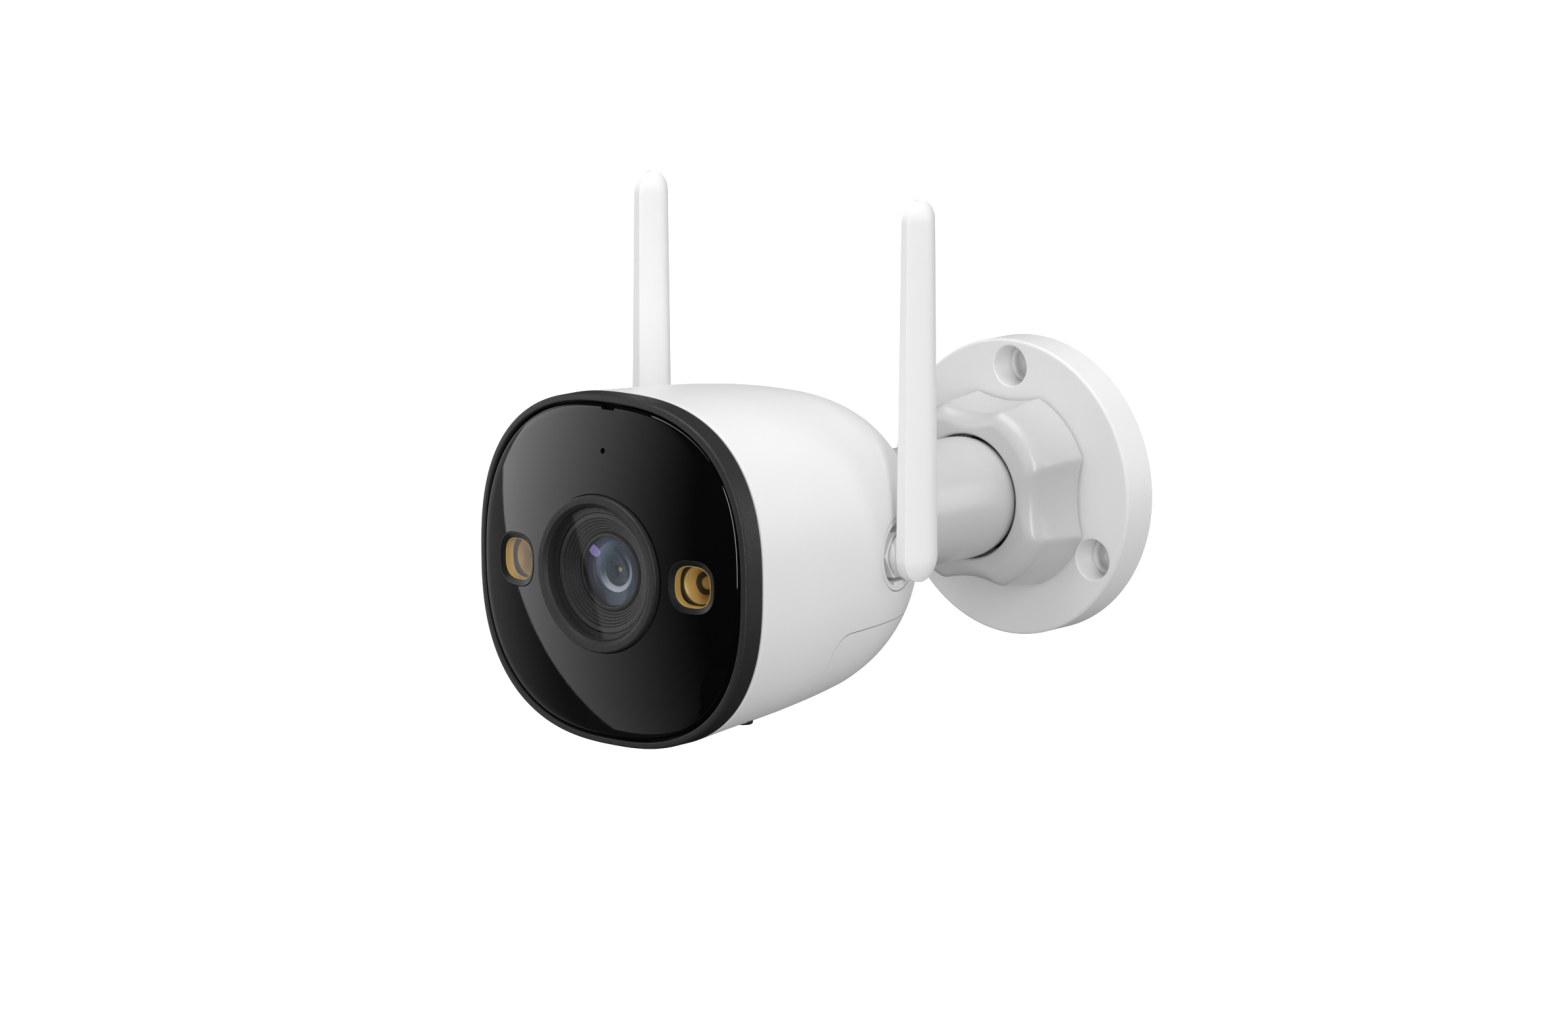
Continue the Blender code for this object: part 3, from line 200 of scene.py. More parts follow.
HATCH_TOP = -14.2 * MM
HATCH_FRONT = span("service_hatch")[1].z
HATCH_BACK = span("service_hatch")[0].z
HATCH_CORNER = 5.0 * MM

# ---- light, in metres and in Blender's units of strength -------------------
WORLD_FILL = 0.38
BACKDROP = 1.2
FLOOR_HEIGHT = -0.3
FLOOR_REACH = 30.0
SOFTBOX_RIGHT = 0.332
SOFTBOX_UP = 0.166
SOFTBOX_RADIUS = 0.688
SPOT_PLACE = Vector((-0.21, -0.78, -0.37))
SPOT_RADIUS = 0.085


# ---- shape helpers --------------------------------------------------------
def polar(radius, angle):
    return radius * cos(angle), radius * sin(angle)


def filleted(corners, steps=4):
    """A loop of (a, b, rounding) corners with each corner turned into an arc."""
    points = []
    for i, (a, b, rounding) in enumerate(corners):
        if not rounding:
            points.append((a, b))
            continue
        here = Vector((a, b))
        before = Vector(corners[i - 1][:2]) - here
        after = Vector(corners[(i + 1) % len(corners)][:2]) - here
        half = before.angle(after) / 2
        reach = min(rounding / tan(half), 0.49 * before.length, 0.49 * after.length)
        before.normalize()
        after.normalize()
        radius = reach * tan(half)
        centre = here + (before + after).normalized() * (radius / sin(half))
        spoke = here + before * reach - centre
        last = here + after * reach - centre
        start = atan2(spoke.y, spoke.x)
        sweep = remainder(atan2(last.y, last.x) - start, 2 * pi)
        for k in range(steps + 1):
            angle = start + sweep * k / steps
            points.append((centre.x + radius * cos(angle), centre.y + radius * sin(angle)))
    return points


def squircle(half_width, half_height, exponent, z, count=FINE):
    """A superellipse ring about the axis."""
    ring = []
    for i in range(count):
        angle = 2 * pi * i / count
        c, s = cos(angle), sin(angle)
        x = copysign(abs(c) ** (2 / exponent), c) * half_width
        y = copysign(abs(s) ** (2 / exponent), s) * half_height
        ring.append(Vector((x, y, z)))
    return ring


def circle(radius, z, count):
    return squircle(radius, radius, 2.0, z, count)


def skin(rings, closed=False):
    """A mesh through rings of equal count. A ring may shrink to a single point at either end."""
    bm = bmesh.new()
    rows = [[bm.verts.new(p) for p in (ring if isinstance(ring, list) else [ring])] for ring in rings]
    pairs = list(zip(rows, rows[1:]))
    if closed:
        pairs.append((rows[-1], rows[0]))
    for front, back in pairs:
        count = max(len(front), len(back))
        for i in range(count):
            j = (i + 1) % count
            if len(front) == 1:
                bm.faces.new((front[0], back[i], back[j]))
            elif len(back) == 1:
                bm.faces.new((front[i], back[0], front[j]))
            else:
                bm.faces.new((front[i], back[i], back[j], front[j]))
    if not closed:
        for row in (rows[0], rows[-1]):
            if len(row) > 2:
                bm.faces.new(row)
    bmesh.ops.recalc_face_normals(bm, faces=bm.faces)
    return bm


def turned(profile, segments=FINE):
    """A profile of (radius, z) turned about z. It starts and ends on the axis, or closes on itself."""
    rings = []
    for radius, z in profile:
        rings.append(Vector((0, 0, z)) if radius == 0 else circle(radius, z, segments))
    return skin(rings, closed=profile[0][0] > 0)


def lathed(corners, segments=FINE, steps=4):
    """A profile of (radius, z, rounding) corners turned about z."""
    return turned(filleted(corners, steps), segments)


def framed(section):
    """A light's frame: a loop of (half width, z) carried round a rounded square."""
    return skin([squircle(half, half, LIGHT_SQUARENESS, z, ROUND) for half, z in section], closed=True)


def arc(centre_z, radius, start, end, steps):
    """Points on a circle about (0, centre_z), with the angle measured from the backward axis."""
    return [(radius * sin(a), centre_z - radius * cos(a)) for a in np.linspace(start, end, steps)]


def rod(radius, low, high, count=SMALL):
    """A plain cylinder about the axis, for a drilled hole."""
    return turned([(0, high), (radius, high), (radius, low), (0, low)], count)


def hole_lip(radius, rim, top, count):
    """The rounded mouth of a hole, from the face into the hole."""
    return [(radius + rim - rim * sin(a), top - rim + rim * cos(a))
            for a in np.linspace(0, QUARTER, count)]


def moved(bm, matrix):
    bmesh.ops.transform(bm, matrix=matrix, verts=bm.verts)
    return bm


def at(x=0.0, y=0.0, z=0.0, turn=0.0, axis="X"):
    return Matrix.Translation((x, y, z)) @ Matrix.Rotation(radians(turn), 4, axis)


def joined(parts):
    """Several meshes in one."""
    whole = bmesh.new()
    for part in parts:
        mesh = bpy.data.meshes.new("joined")
        part.to_mesh(mesh)
        part.free()
        whole.from_mesh(mesh)
        bpy.data.meshes.remove(mesh)
    return whole


def bell(width, reach):
    """Weights of a Gaussian average that looks reach samples to either side."""
    weights = np.exp(-0.5 * (np.arange(-reach, reach + 1) / width) ** 2)
    return weights / weights.sum()


def smooth(values, width):
    """A running Gaussian average of evenly spaced values that keeps both ends."""
    reach = int(4 * width)
    before = 2 * values[0] - values[reach:0:-1]
    after = 2 * values[-1] - values[-2:-reach - 2:-1]
    return np.convolve(np.concatenate([before, values, after]), bell(width, reach), "valid")


# ---- pieces ---------------------------------------------------------------
def linked(item):
    bpy.context.scene.collection.objects.link(item)
    return item


def mesh_object(name, bm):
    mesh = bpy.data.meshes.new(name)
    bm.to_mesh(mesh)
    bm.free()
    return linked(bpy.data.objects.new(name, mesh))


def as_object(name, bm):
    """An object of a piece that was drawn in the local frame."""
    return mesh_object(name, moved(bm, UPRIGHT))


def carve(item, bm, operation="DIFFERENCE"):
    """Cuts a piece with a mesh, for good."""
    cutter = as_object("cutter", bm)
    modifier = item.modifiers.new("carve", "BOOLEAN")
    modifier.operation = operation
    modifier.object = cutter
    bpy.context.view_layer.update()
    made = bpy.data.meshes.new_from_object(item.evaluated_get(bpy.context.evaluated_depsgraph_get()))
    item.modifiers.clear()
    old = item.data
    item.data = made
    bpy.data.meshes.remove(old)
    bpy.data.objects.remove(cutter)


def finish_piece(item, node, look=None, hides=True, sharp=34, even=True):
    """Shades a piece, gives it its node's look or another, and lets it ride and stand for its node."""
    look = look or LOOKS[SLOT_OF[node]]
    item.data.materials.clear()
    item.data.materials.append(look)
    item.data.shade_smooth()
    item.data.set_sharp_from_angle(angle=radians(sharp))
    if even:
        weighted = item.modifiers.new("even_normals", "WEIGHTED_NORMAL")
        weighted.keep_sharp = True
    if look.get("casts_no_shadow"):
        item.visible_shadow = False
        item.visible_diffuse = False
    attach(item, BODY_OF[node])
    if hides:
        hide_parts(node)


def make_piece(node, bm, look=None, **options):
    finish_piece(as_object(node + "_fine", bm), node, look, **options)


def make_extra(name, bm, look, node, **options):
    """A piece that only shows: it rides with its node, but doesn't stand for it."""
    finish_piece(as_object(name, bm), node, look, hides=False, **options)


# ---- materials ------------------------------------------------------------
def set_sockets(node, sockets):
    """Sets a node's inputs. A value is a constant, or another node's output as (node, output name)."""
    for socket, value in sockets.items():
        if isinstance(value, tuple) and isinstance(value[0], bpy.types.Node):
            start, output = value
            node.id_data.links.new(start.outputs[output], node.inputs[socket])
        else:
            node.inputs[socket].default_value = value


def add_node(tree, kind, sockets=None, **settings):
    node = tree.nodes.new("ShaderNode" + kind)
    for name, value in settings.items():
        setattr(node, name, value)
    set_sockets(node, sockets or {})
    return node


def noise(tree, scale):
    where = add_node(tree, "TexCoord")
    return add_node(tree, "TexNoise", {"Scale": scale, "Detail": 3.0, "Vector": (where, "Object")})


def remap(tree, texture, low, high):
    """Spreads the middle of a noise texture's range over low to high."""
    return add_node(tree, "MapRange", {"From Min": 0.3, "From Max": 0.7, "To Min": low, "To Max": high,
                                       "Value": (texture, "Fac")})


def new_material(name):
    made = bpy.data.materials.new(name)
    made.use_nodes = True
    return made, made.node_tree, made.node_tree.nodes["Principled BSDF"]


def grained(name, colour, roughness, metallic=0.0, grain=2600, depth=0.02, spread=0.05, tone=0.04, coat=0.0):
    """A surface with a fine grain in its relief and roughness and a slow drift in its tone."""
    made, tree, shader = new_material(name)
    fine = noise(tree, grain)
    slow = noise(tree, 45.0)
    rough = remap(tree, fine, roughness - spread, roughness + spread)
    tint = add_node(tree, "Mix", {
        "A": (*[c * (1 - tone) for c in colour], 1),
        "B": (*[min(1, c * (1 + tone)) for c in colour], 1),
        "Factor": (remap(tree, slow, 0.0, 1.0), "Result"),
    }, data_type="RGBA")
    bump = add_node(tree, "Bump", {"Strength": 1.0, "Distance": depth * MM, "Height": (fine, "Fac")})
    set_sockets(shader, {
        "Metallic": metallic,
        "Coat Weight": coat,
        "Coat Roughness": 0.1,
        "Roughness": (rough, "Result"),
        "Base Color": (tint, "Result"),
        "Normal": (bump, "Normal"),
    })
    return made


def sheer(name, tint, facing_share):
    """Thin clear material: it lets light through, and mirrors a share of it that grows at grazing angles."""
    made, tree, shader = new_material(name)
    tree.nodes.remove(shader)
    through = add_node(tree, "BsdfTransparent", {"Color": (*tint, 1)})
    mirror = add_node(tree, "BsdfGlossy", {"Roughness": 0.0, "Color": (1, 1, 1, 1)})
    facing = add_node(tree, "LayerWeight", {"Blend": 0.5})
    steep = add_node(tree, "Math", {0: (facing, "Facing"), 1: 5.0}, operation="POWER")
    share = add_node(tree, "MapRange", {"To Min": facing_share, "Value": (steep, "Value")})
    mix = add_node(tree, "MixShader", {"Fac": (share, "Result"), 1: (through, "BSDF"), 2: (mirror, "BSDF")})
    set_sockets(tree.nodes["Material Output"], {"Surface": (mix, "Shader")})
    made["casts_no_shadow"] = True
    return made


def paint_reflection_grade(made, dark, light):
    """Paints a reflection onto a ring: its colour is graded from dark at the upper left to light at the lower
    right, as a painted reflection.
    """
    tree = made.node_tree
    where = add_node(tree, "TexCoord")
    along = add_node(tree, "VectorMath", {0: (where, "Object"), 1: (0.55, 0, -0.83)}, operation="DOT_PRODUCT")
    edges = {"From Min": -2.5 * MM, "From Max": 3.5 * MM, "Value": (along, "Value")}
    share = add_node(tree, "MapRange", edges, interpolation_type="SMOOTHSTEP")
    mix = next(n for n in tree.nodes if n.type == "MIX")
    set_sockets(mix, {"A": (*dark, 1), "B": (*light, 1), "Factor": (share, "Result")})


def coated_glass(name):
    """A lens element's coating: teal where it faces the viewer, violet towards its rim."""
    made = sheer(name, (0.95, 0.97, 1.0), 0.05)
    tree = made.node_tree
    facing = add_node(tree, "LayerWeight", {"Blend": 0.35})
    ramp = add_node(tree, "ValToRGB", {"Fac": (facing, "Facing")})
    teal, violet = ramp.color_ramp.elements
    teal.position, teal.color = 0.05, (0.35, 0.75, 0.72, 1)
    violet.position, violet.color = 0.5, (0.62, 0.38, 0.95, 1)
    mirror = next(n for n in tree.nodes if n.type == "BSDF_GLOSSY")
    set_sockets(mirror, {"Color": (ramp, "Color")})
    return made


LOOKS = {
    "white_plastic": grained("moulded_white", (0.84, 0.84, 0.84), 0.42, depth=0.006, spread=0.05, tone=0.008),
    "black_plastic": grained("grained_black", (0.024, 0.024, 0.025), 0.5, grain=3300, depth=0.035,
                             spread=0.12),
    "black_gloss": grained("polished_black", (0.003, 0.003, 0.003), 0.03, grain=900, depth=0.0004,
                           spread=0.01),
    "clear": sheer("clear_cover", (0.98, 0.98, 0.98), 0.014),
    "lens_glass": coated_glass("coated_glass"),
    "amber": grained("amber_reflector", (0.62, 0.40, 0.12), 0.35, 0.1, grain=1500, depth=0.004),
    "yellow_phosphor": grained("phosphor", (0.66, 0.43, 0.13), 0.5, grain=4000, depth=0.01),
    "steel": grained("plated_steel", (0.50, 0.50, 0.52), 0.32, 1.0, grain=1800, depth=0.004),
    "brass": grained("turned_brass", (0.72, 0.52, 0.24), 0.35, 1.0, grain=1500, depth=0.004),
    "aluminium": grained("plain_aluminium", (0.70, 0.71, 0.73), 0.4, 1.0, grain=2000, depth=0.006),
    "rubber": grained("soft_rubber", (0.025, 0.025, 0.025), 0.8, grain=1800, depth=0.02),
    "circuit_board": grained("solder_mask", (0.012, 0.12, 0.045), 0.4, grain=1400, depth=0.02, tone=0.2),
    "copper_coil": grained("copper_winding", (0.62, 0.28, 0.13), 0.4, 1.0, grain=2500, depth=0.05),
    "grey_plastic": grained("moulded_grey", (0.16, 0.16, 0.165), 0.55, grain=2200, depth=0.01),
}
LENS_BLACK = grained("lens_black", (0.034, 0.034, 0.035), 0.33, grain=3300, depth=0.006, spread=0.08)
LENS_BLUE = grained("lens_blue", (0.05, 0.055, 0.075), 0.22, grain=1200, depth=0.002, coat=0.5)
LENS_IRIS = grained("lens_iris", (0.008, 0.010, 0.013), 0.25, grain=1500, depth=0.002)
INNER_GLASS = sheer("inner_glass", (0.97, 0.98, 1.0), 0.03)
# The retaining ring's colour is a painted reflection, graded from dark teal at the upper left to light grey
# at the lower right.
LENS_SILVER_PAINTED_REFLECTION = grained("lens_silver_painted_reflection", (0.72, 0.70, 0.74), 0.3, 0.3, grain=1200, depth=0.002)
paint_reflection_grade(LENS_SILVER_PAINTED_REFLECTION, (0.03, 0.05, 0.055), (0.9, 0.88, 0.92))
# A darker copy of the white plastic as painted shade, for the shade that falls on the nut and the neck near
# the wall.
WHITE_WITH_PAINTED_SHADE = grained("white_painted_shade", (0.60, 0.60, 0.60), 0.25, grain=3800, depth=0.0015, spread=0.02,
                       tone=0.008)
# A lighter copy of the white plastic as painted light, for the brighter light that falls on the antennas'
# faces.
WHITE_WITH_PAINTED_LIGHT = grained("white_painted_light", (0.94, 0.94, 0.94), 0.38, depth=0.004, spread=0.05, tone=0.006)
SMOOTH_BLACK = grained("smooth_black", (0.014, 0.014, 0.015), 0.32, grain=1500, depth=0.002, spread=0.03)
# A dark brown as painted shade: the pieces round a light's emitter stand in for the ring of shade seen there.
PAINTED_SHADE_DARK = grained("painted_shade_dark", (0.05, 0.035, 0.012), 0.6, grain=2500, depth=0.01)


# ---- wall base ------------------------------------------------------------
def make_wall_plate():
    """A round plate with a hollow boss for the nut and three stepped screw holes."""
    plate = as_object("wall_plate_fine", lathed([
        (0, PLATE_FLOOR, 0),
        (BOSS_BORE, PLATE_FLOOR, 0),
        (BOSS_BORE, BOSS_OUT, 0.5 * MM),
        (BOSS_RADIUS, BOSS_OUT, 0.5 * MM),
        (BOSS_RADIUS, PLATE_THICK, 0),
        (PLATE_RADIUS, PLATE_THICK, 0.7 * MM),
        (PLATE_RADIUS, 0, 0.3 * MM),
        (0, 0, 0),
    ], steps=6))
    past = 1.0 * MM
    rim = 0.3 * MM
    step_out, seat_out = 3.5 * MM, 2.0 * MM
    hole = [(0, PLATE_THICK + past), (SCREW_HEAD_RADIUS + rim, PLATE_THICK + past)]
    hole += hole_lip(SCREW_HEAD_RADIUS, rim, PLATE_THICK, 5)
    hole += filleted([
        (SCREW_HEAD_RADIUS, step_out, 0.3 * MM),
        (SCREW_STEP_RADIUS, step_out, 0.25 * MM),
        (SCREW_STEP_RADIUS, seat_out, 0.2 * MM),
        (SCREW_HOLE_RADIUS, seat_out, 0.2 * MM),
        (SCREW_HOLE_RADIUS, -past, 0),
    ])
    hole.append((0, -past))
    cutters = []
    for turn in (90, 210, 330):
        cutters.append(moved(turned(hole, ROUND), at(*polar(SCREW_CIRCLE, radians(turn)))))
    carve(plate, joined(cutters))
    finish_piece(plate, "wall_plate")


def nut_ring(scale, inset, z, softness, count=FINE * 2):
    """The nut's outline: four lobes and four scallops, their corners softened over some degrees."""
    eighth = radians(22.5)
    distance = NUT_RADIUS * cos(eighth)
    distance += sqrt(NUT_SCALLOP_RADIUS**2 - (NUT_RADIUS * sin(eighth)) ** 2)
    angles = 2 * pi * np.arange(count) / count
    inside = np.mod(angles + eighth, QUARTER) - eighth
    scalloped = distance * np.cos(inside) - np.sqrt(
        np.maximum(NUT_SCALLOP_RADIUS**2 - (distance * np.sin(inside)) ** 2, 0))
    radii = np.where(np.abs(inside) < eighth, scalloped, NUT_RADIUS)
    width = softness * count / 360
    reach = int(4 * width) + 1
    radii = np.convolve(np.concatenate([radii[-reach:], radii, radii[:reach]]), bell(width, reach), "valid")
    radii = radii * scale - inset
    return [Vector((*polar(r, a), z)) for r, a in zip(radii, angles)]


def make_lock_nut():
    slope = (1 - NUT_TAPER) / (NUT_FRONT - NUT_BACK)
    round_out = NUT_FRONT - NUT_ROUND
    crisp, side_gain, front_gain = 0.8, 0.8, 2.4     # degrees of softening at the wall, and what they grow by
    steps, lip_steps = 12, 4

    def taper(z):
        return 1 - slope * (z - NUT_BACK)

    rings = []
    for z in np.linspace(NUT_BACK, round_out, 8):
        share = (z - NUT_BACK) / (round_out - NUT_BACK)
        rings.append(nut_ring(taper(z), 0.0, z, crisp + side_gain * share))
    for step in range(1, steps + 1):
        angle = QUARTER * step / steps
        z = round_out + NUT_ROUND * sin(angle)
        inset = NUT_ROUND * (1 - cos(angle))
        rings.append(nut_ring(taper(z), inset, z, crisp + side_gain + front_gain * step / steps))
    count = FINE * 2
    opening = NECK_RADIUS + NECK_PLAY
    for step in range(lip_steps + 1):
        angle = QUARTER * step / lip_steps
        z = NUT_FRONT - NUT_LIP * (1 - cos(angle))
        rings.append(circle(opening + NUT_LIP * (1 - sin(angle)), z, count))
    bore = BOSS_RADIUS + THREAD_PLAY
    web_back = NUT_FRONT - NUT_WEB
    rings += [circle(opening, web_back, count), circle(bore, web_back, count), circle(bore, NUT_BACK, count)]
    nut = as_object("lock_nut_fine", skin(rings, closed=True))
    # Painted shade: the nut gets the darker copy of the white plastic.
    finish_piece(nut, "lock_nut", WHITE_WITH_PAINTED_SHADE, sharp=50)


def make_neck():
    bore = NECK_RADIUS - NECK_WALL
    spigot = NECK_RADIUS - 0.6 * MM
    flare = []
    for z in np.linspace(NECK_END - 0.25 * MM, FLARE_START, 24):
        share = (z - FLARE_START) / (NECK_END - FLARE_START)
        flare.append((NECK_RADIUS + (NECK_END_RADIUS - NECK_RADIUS) * share**2.2, z))
    profile = [(spigot, NECK_SPIGOT_END), (spigot, NECK_END), (NECK_END_RADIUS - 0.35 * MM, NECK_END)] + flare
    profile += arc(BALL_OUT, NECK_RADIUS, QUARTER, BALL_OPENING, 20)
    profile += arc(BALL_OUT, bore, BALL_OPENING, QUARTER, 16) + [(bore, NECK_SPIGOT_END)]
    neck = as_object("neck_fine", turned(profile, FINE))
    carve(neck, screw_cut(0.0, NECK_RADIUS - 0.1 * MM, middle_of("neck_screw").z, 2.0 * MM, 1.4 * MM))
    # Painted shade: the neck gets the darker copy of the white plastic.
    finish_piece(neck, "neck", WHITE_WITH_PAINTED_SHADE, even=False)


# ---- screws ---------------------------------------------------------------
def screw_cut(x, depth, out, radius, sink):
    """A counterbore from below with a rounded rim; depth is how far below the axis the surface is."""
    rim = 0.2 * MM
    shaft = 1.4 * MM
    mouth, end = depth + 4 * MM, depth - 6 * MM
    profile = [(0, mouth), (radius + rim, mouth)] + hole_lip(radius, rim, depth, 4)
    profile += [(radius, depth - sink), (shaft, depth - sink), (shaft, end), (0, end)]
    return moved(turned(profile, SMALL), at(x, 0, out, 90))


def make_screw(node):
    """A cross-recessed screw that points up into the part from below."""
    low, high = span(node)
    middle = middle_of(node)
    place = at(middle.x, low.y, middle.z, 90)
    radius = (high.x - low.x) / 2
    length = high.y - low.y
    head = 1.2 * MM
    profile = filleted([
        (0, 0, 0), (radius, 0, 0.35 * MM), (radius, -head, 0), (radius * 0.5, -head, 0),
        (radius * 0.5, -length, 0.2 * MM), (0, -length, 0),
    ])
    screw = as_object(node + "_fine", moved(turned(profile, SMALL), place))
    wing, slot = radius * 0.62, radius * 0.17
    taper = [(wing, slot, 0.3 * MM), (wing * 0.45, slot * 0.6, -0.75 * MM)]
    for turn in (45, 135):
        rings = [[Vector((x * sx, y * sy, z)) for sx, sy in ((1, 1), (-1, 1), (-1, -1), (1, -1))]
                 for x, y, z in taper]
        carve(screw, moved(skin(rings), place @ at(turn=turn, axis="Z")))
    finish_piece(screw, node, sharp=30)


# ---- body -----------------------------------------------------------------
def body_profile(steps):
    """Shares of the body's length behind the front edge and the width left at each, evenly spaced."""
    knots, widths = (np.array(v) for v in zip(*BODY_TAPER))
    step = np.diff(knots)
    slope = np.diff(widths) / step
    inner = 2 * slope[:-1] * slope[1:] / (slope[:-1] + slope[1:])
    tangent = np.concatenate([[slope[0]], inner, [slope[-1]]])
    shares = np.linspace(0, 1, steps)
    i = np.clip(np.searchsorted(knots, shares) - 1, 0, len(step) - 1)
    t = (shares - knots[i]) / step[i]
    curve = ((2 * t**3 - 3 * t**2 + 1) * widths[i] + (t**3 - 2 * t**2 + t) * step[i] * tangent[i]
             + (3 * t**2 - 2 * t**3) * widths[i + 1] + (t**3 - t**2) * step[i] * tangent[i + 1])
    return shares, smooth(curve, steps * 0.022)


def body_ring(share, width, inset):
    """The body's section at a share of its length, which rounds off and centres towards the neck."""
    height = BODY_ASPECT * (1 - share) + NECK_END_ASPECT * share
    round_from, circle_from = 0.6, 0.85
    if share > circle_from:
        height += (1 - height) * (share - circle_from) / 0.15
    exponent = BODY_SQUARENESS + (2.0 - BODY_SQUARENESS) * max(0.0, (share - round_from) / 0.4)
    half = NECK_END_RADIUS + (BODY_HALF_WIDTH - NECK_END_RADIUS) * width
    z = BODY_FRONT - share * (BODY_FRONT - BODY_BACK)
    return squircle(half - inset, half * height - inset, exponent, z)


def body_solid():
    """The casing as one closed shell, from which the hatch is parted."""
    shares, widths = body_profile(BODY_STEPS)
    outer = []
    for k in range(1, 4):
        angle = QUARTER * k / 4
        ring = body_ring(0.0, 1.0, BODY_EDGE * (1 - sin(angle)))
        outer.append([Vector((p.x, p.y, BODY_FRONT - BODY_EDGE * (1 - cos(angle)))) for p in ring])
    outer += [body_ring(s, w, 0.0) for s, w in zip(shares[1:], widths[1:])]
    collar = NECK_RADIUS - 0.3 * MM
    deepest = BODY_FRONT - BODY_BACK - BODY_WALL - 1 * MM
    inner = [(s, w) for s, w in zip(shares[::3], widths[::3]) if s * (BODY_FRONT - BODY_BACK) < deepest]
    hollow = [body_ring(s, w, BODY_WALL) for s, w in reversed(inner)]
    neck_end = [circle(collar, z, FINE) for z in (BODY_BACK, BODY_BACK + BODY_WALL)]
    return skin(outer + neck_end + hollow, closed=True)


def body_blank(inset):
    """The casing's outside as a full solid, to trim what stands in its side."""
    shares, widths = body_profile(60)
    return skin([body_ring(s, w, inset) for s, w in zip(shares, widths)])


def hatch_prism(shrink):
    """A prism across the body, round-cornered seen from the side, for everything under the hatch's seam."""
    front, back = HATCH_FRONT - shrink, HATCH_BACK + shrink
    top, low = HATCH_TOP - shrink, -1.5 * BODY_HALF_HEIGHT
    reach = 1.3 * BODY_HALF_WIDTH
    corners = [(front, top, HATCH_CORNER), (back, top, HATCH_CORNER), (back, low, 0), (front, low, 0)]
    outline = filleted(corners, steps=16)
    return skin([[Vector((x, y, z)) for z, y in outline] for x in (-reach, reach)])


def surface_depth(x, out):
    """How far below the axis the body's outside is, at a place under it."""
    share = (BODY_FRONT - out) / (BODY_FRONT - BODY_BACK)
    shares, widths = body_profile(BODY_STEPS)
    ring = body_ring(share, float(np.interp(share, shares, widths)), 0.0)
    under = [p for p in ring if p.y < 0]
    return -min(under, key=lambda p: abs(p.x - x)).y


def screw_seat(node, sink):
    """The counterbore that holds a screw under the body."""
    middle = middle_of(node)
    return screw_cut(middle.x, surface_depth(middle.x, middle.z), middle.z, 2.4 * MM, sink)


def make_body():
    """The casing with its sockets, screws, drains and speaker grille, and the hatch parted from it."""
    shell = as_object("body_shell_fine", body_solid())
    cutters = [hatch_prism(0.0)]
    for side, sign in SIDES:
        pocket = rod(SOCKET_RADIUS + SEAM, 0, 30 * MM, ROUND)
        cutters.append(moved(pocket, at(sign * SOCKET_BACK, 0, ANTENNA_OUT, 90 * sign, "Y")))
        cutters.append(screw_seat(f"case_screw_{side}", 1.6 * MM))
        x = sign * DRAIN_ASIDE
        drain = rod(DRAIN_RADIUS, -5 * MM, 5 * MM)
        cutters.append(moved(drain, at(x, -surface_depth(x, DRAIN_OUT), DRAIN_OUT, 90)))
    grille_out = middle_of("speaker").z
    for i in range(7):
        across, out = polar(GRILLE_REACH if i < 6 else 0.0, radians(60 * i))
        place = at(across, -BODY_HALF_HEIGHT, grille_out + out, 90)
        cutters.append(moved(rod(GRILLE_HOLE_RADIUS, -6 * MM, 6 * MM, 20), place))
    carve(shell, joined(cutters))
    finish_piece(shell, "body_shell", even=False, sharp=40)

    hatch = as_object("service_hatch_fine", body_solid())
    carve(hatch, hatch_prism(SEAM), "INTERSECT")
    carve(hatch, joined([screw_seat(f"hatch_screw_{side}", 1.7 * MM) for side, _ in SIDES]))
    finish_piece(hatch, "service_hatch", even=False, sharp=40)


# ---- front ----------------------------------------------------------------
def panel_surface(radius):
    """Distance out of the domed panel's face at a distance from the axis."""
    return PANEL_APEX - PANEL_DOME_RADIUS + sqrt(PANEL_DOME_RADIUS**2 - radius**2)


def domed(ring, drop):
    """A ring laid on the domed panel's face, or as far under it as drop says."""
    return [Vector((p.x, p.y, panel_surface(hypot(p.x, p.y)) - drop)) for p in ring]


def front_outline(half, z=0.0, inset=0.0):
    """A ring with the outline of the body's front."""
    return squircle(half - inset, half * BODY_ASPECT - inset, BODY_SQUARENESS, z, FINE * 2)


def make_bezel():
    """A frame with a narrow front lip, which follows the domed panel part of the way, and a straight side."""
    inner = BODY_HALF_WIDTH - BEZEL_LIP
    plug = BODY_HALF_WIDTH - BODY_WALL - 0.6 * MM
    foot = inner - 3.0 * MM
    ledge = span("front_seal")[0].z - 0.3 * MM
    skirt = span("bezel")[0].z
    level = [LIP_OUT + LIP_FOLLOWS_DOME * (panel_surface(hypot(p.x, p.y)) - LIP_OUT)
             for p in front_outline(inner)]
    section = filleted([
        (inner, 3.0 * MM, 0),
        (inner, 0.0, 0.3 * MM),
        (BODY_HALF_WIDTH, LIP_SLOPE, 0.7 * MM),
        (BODY_HALF_WIDTH, 3.0 * MM, 0),
    ], steps=6)
    rings = [front_outline(inner, ledge)]
    for half, drop in section[1:-1]:
        rings.append([Vector((p.x, p.y, z - drop)) for p, z in zip(front_outline(half), level)])
    corner = 0.25 * MM
    for angle in np.linspace(0, QUARTER, 4):
        inset = corner * (1 - cos(angle))
        rings.append(front_outline(BODY_HALF_WIDTH - inset, BEZEL_BACK + corner * (1 - sin(angle))))
    for half, z in ((plug, BEZEL_BACK), (plug, skirt), (foot, skirt), (foot, ledge)):
        rings.append(front_outline(half, z))
    make_piece("bezel", skin(rings, closed=True), sharp=40)


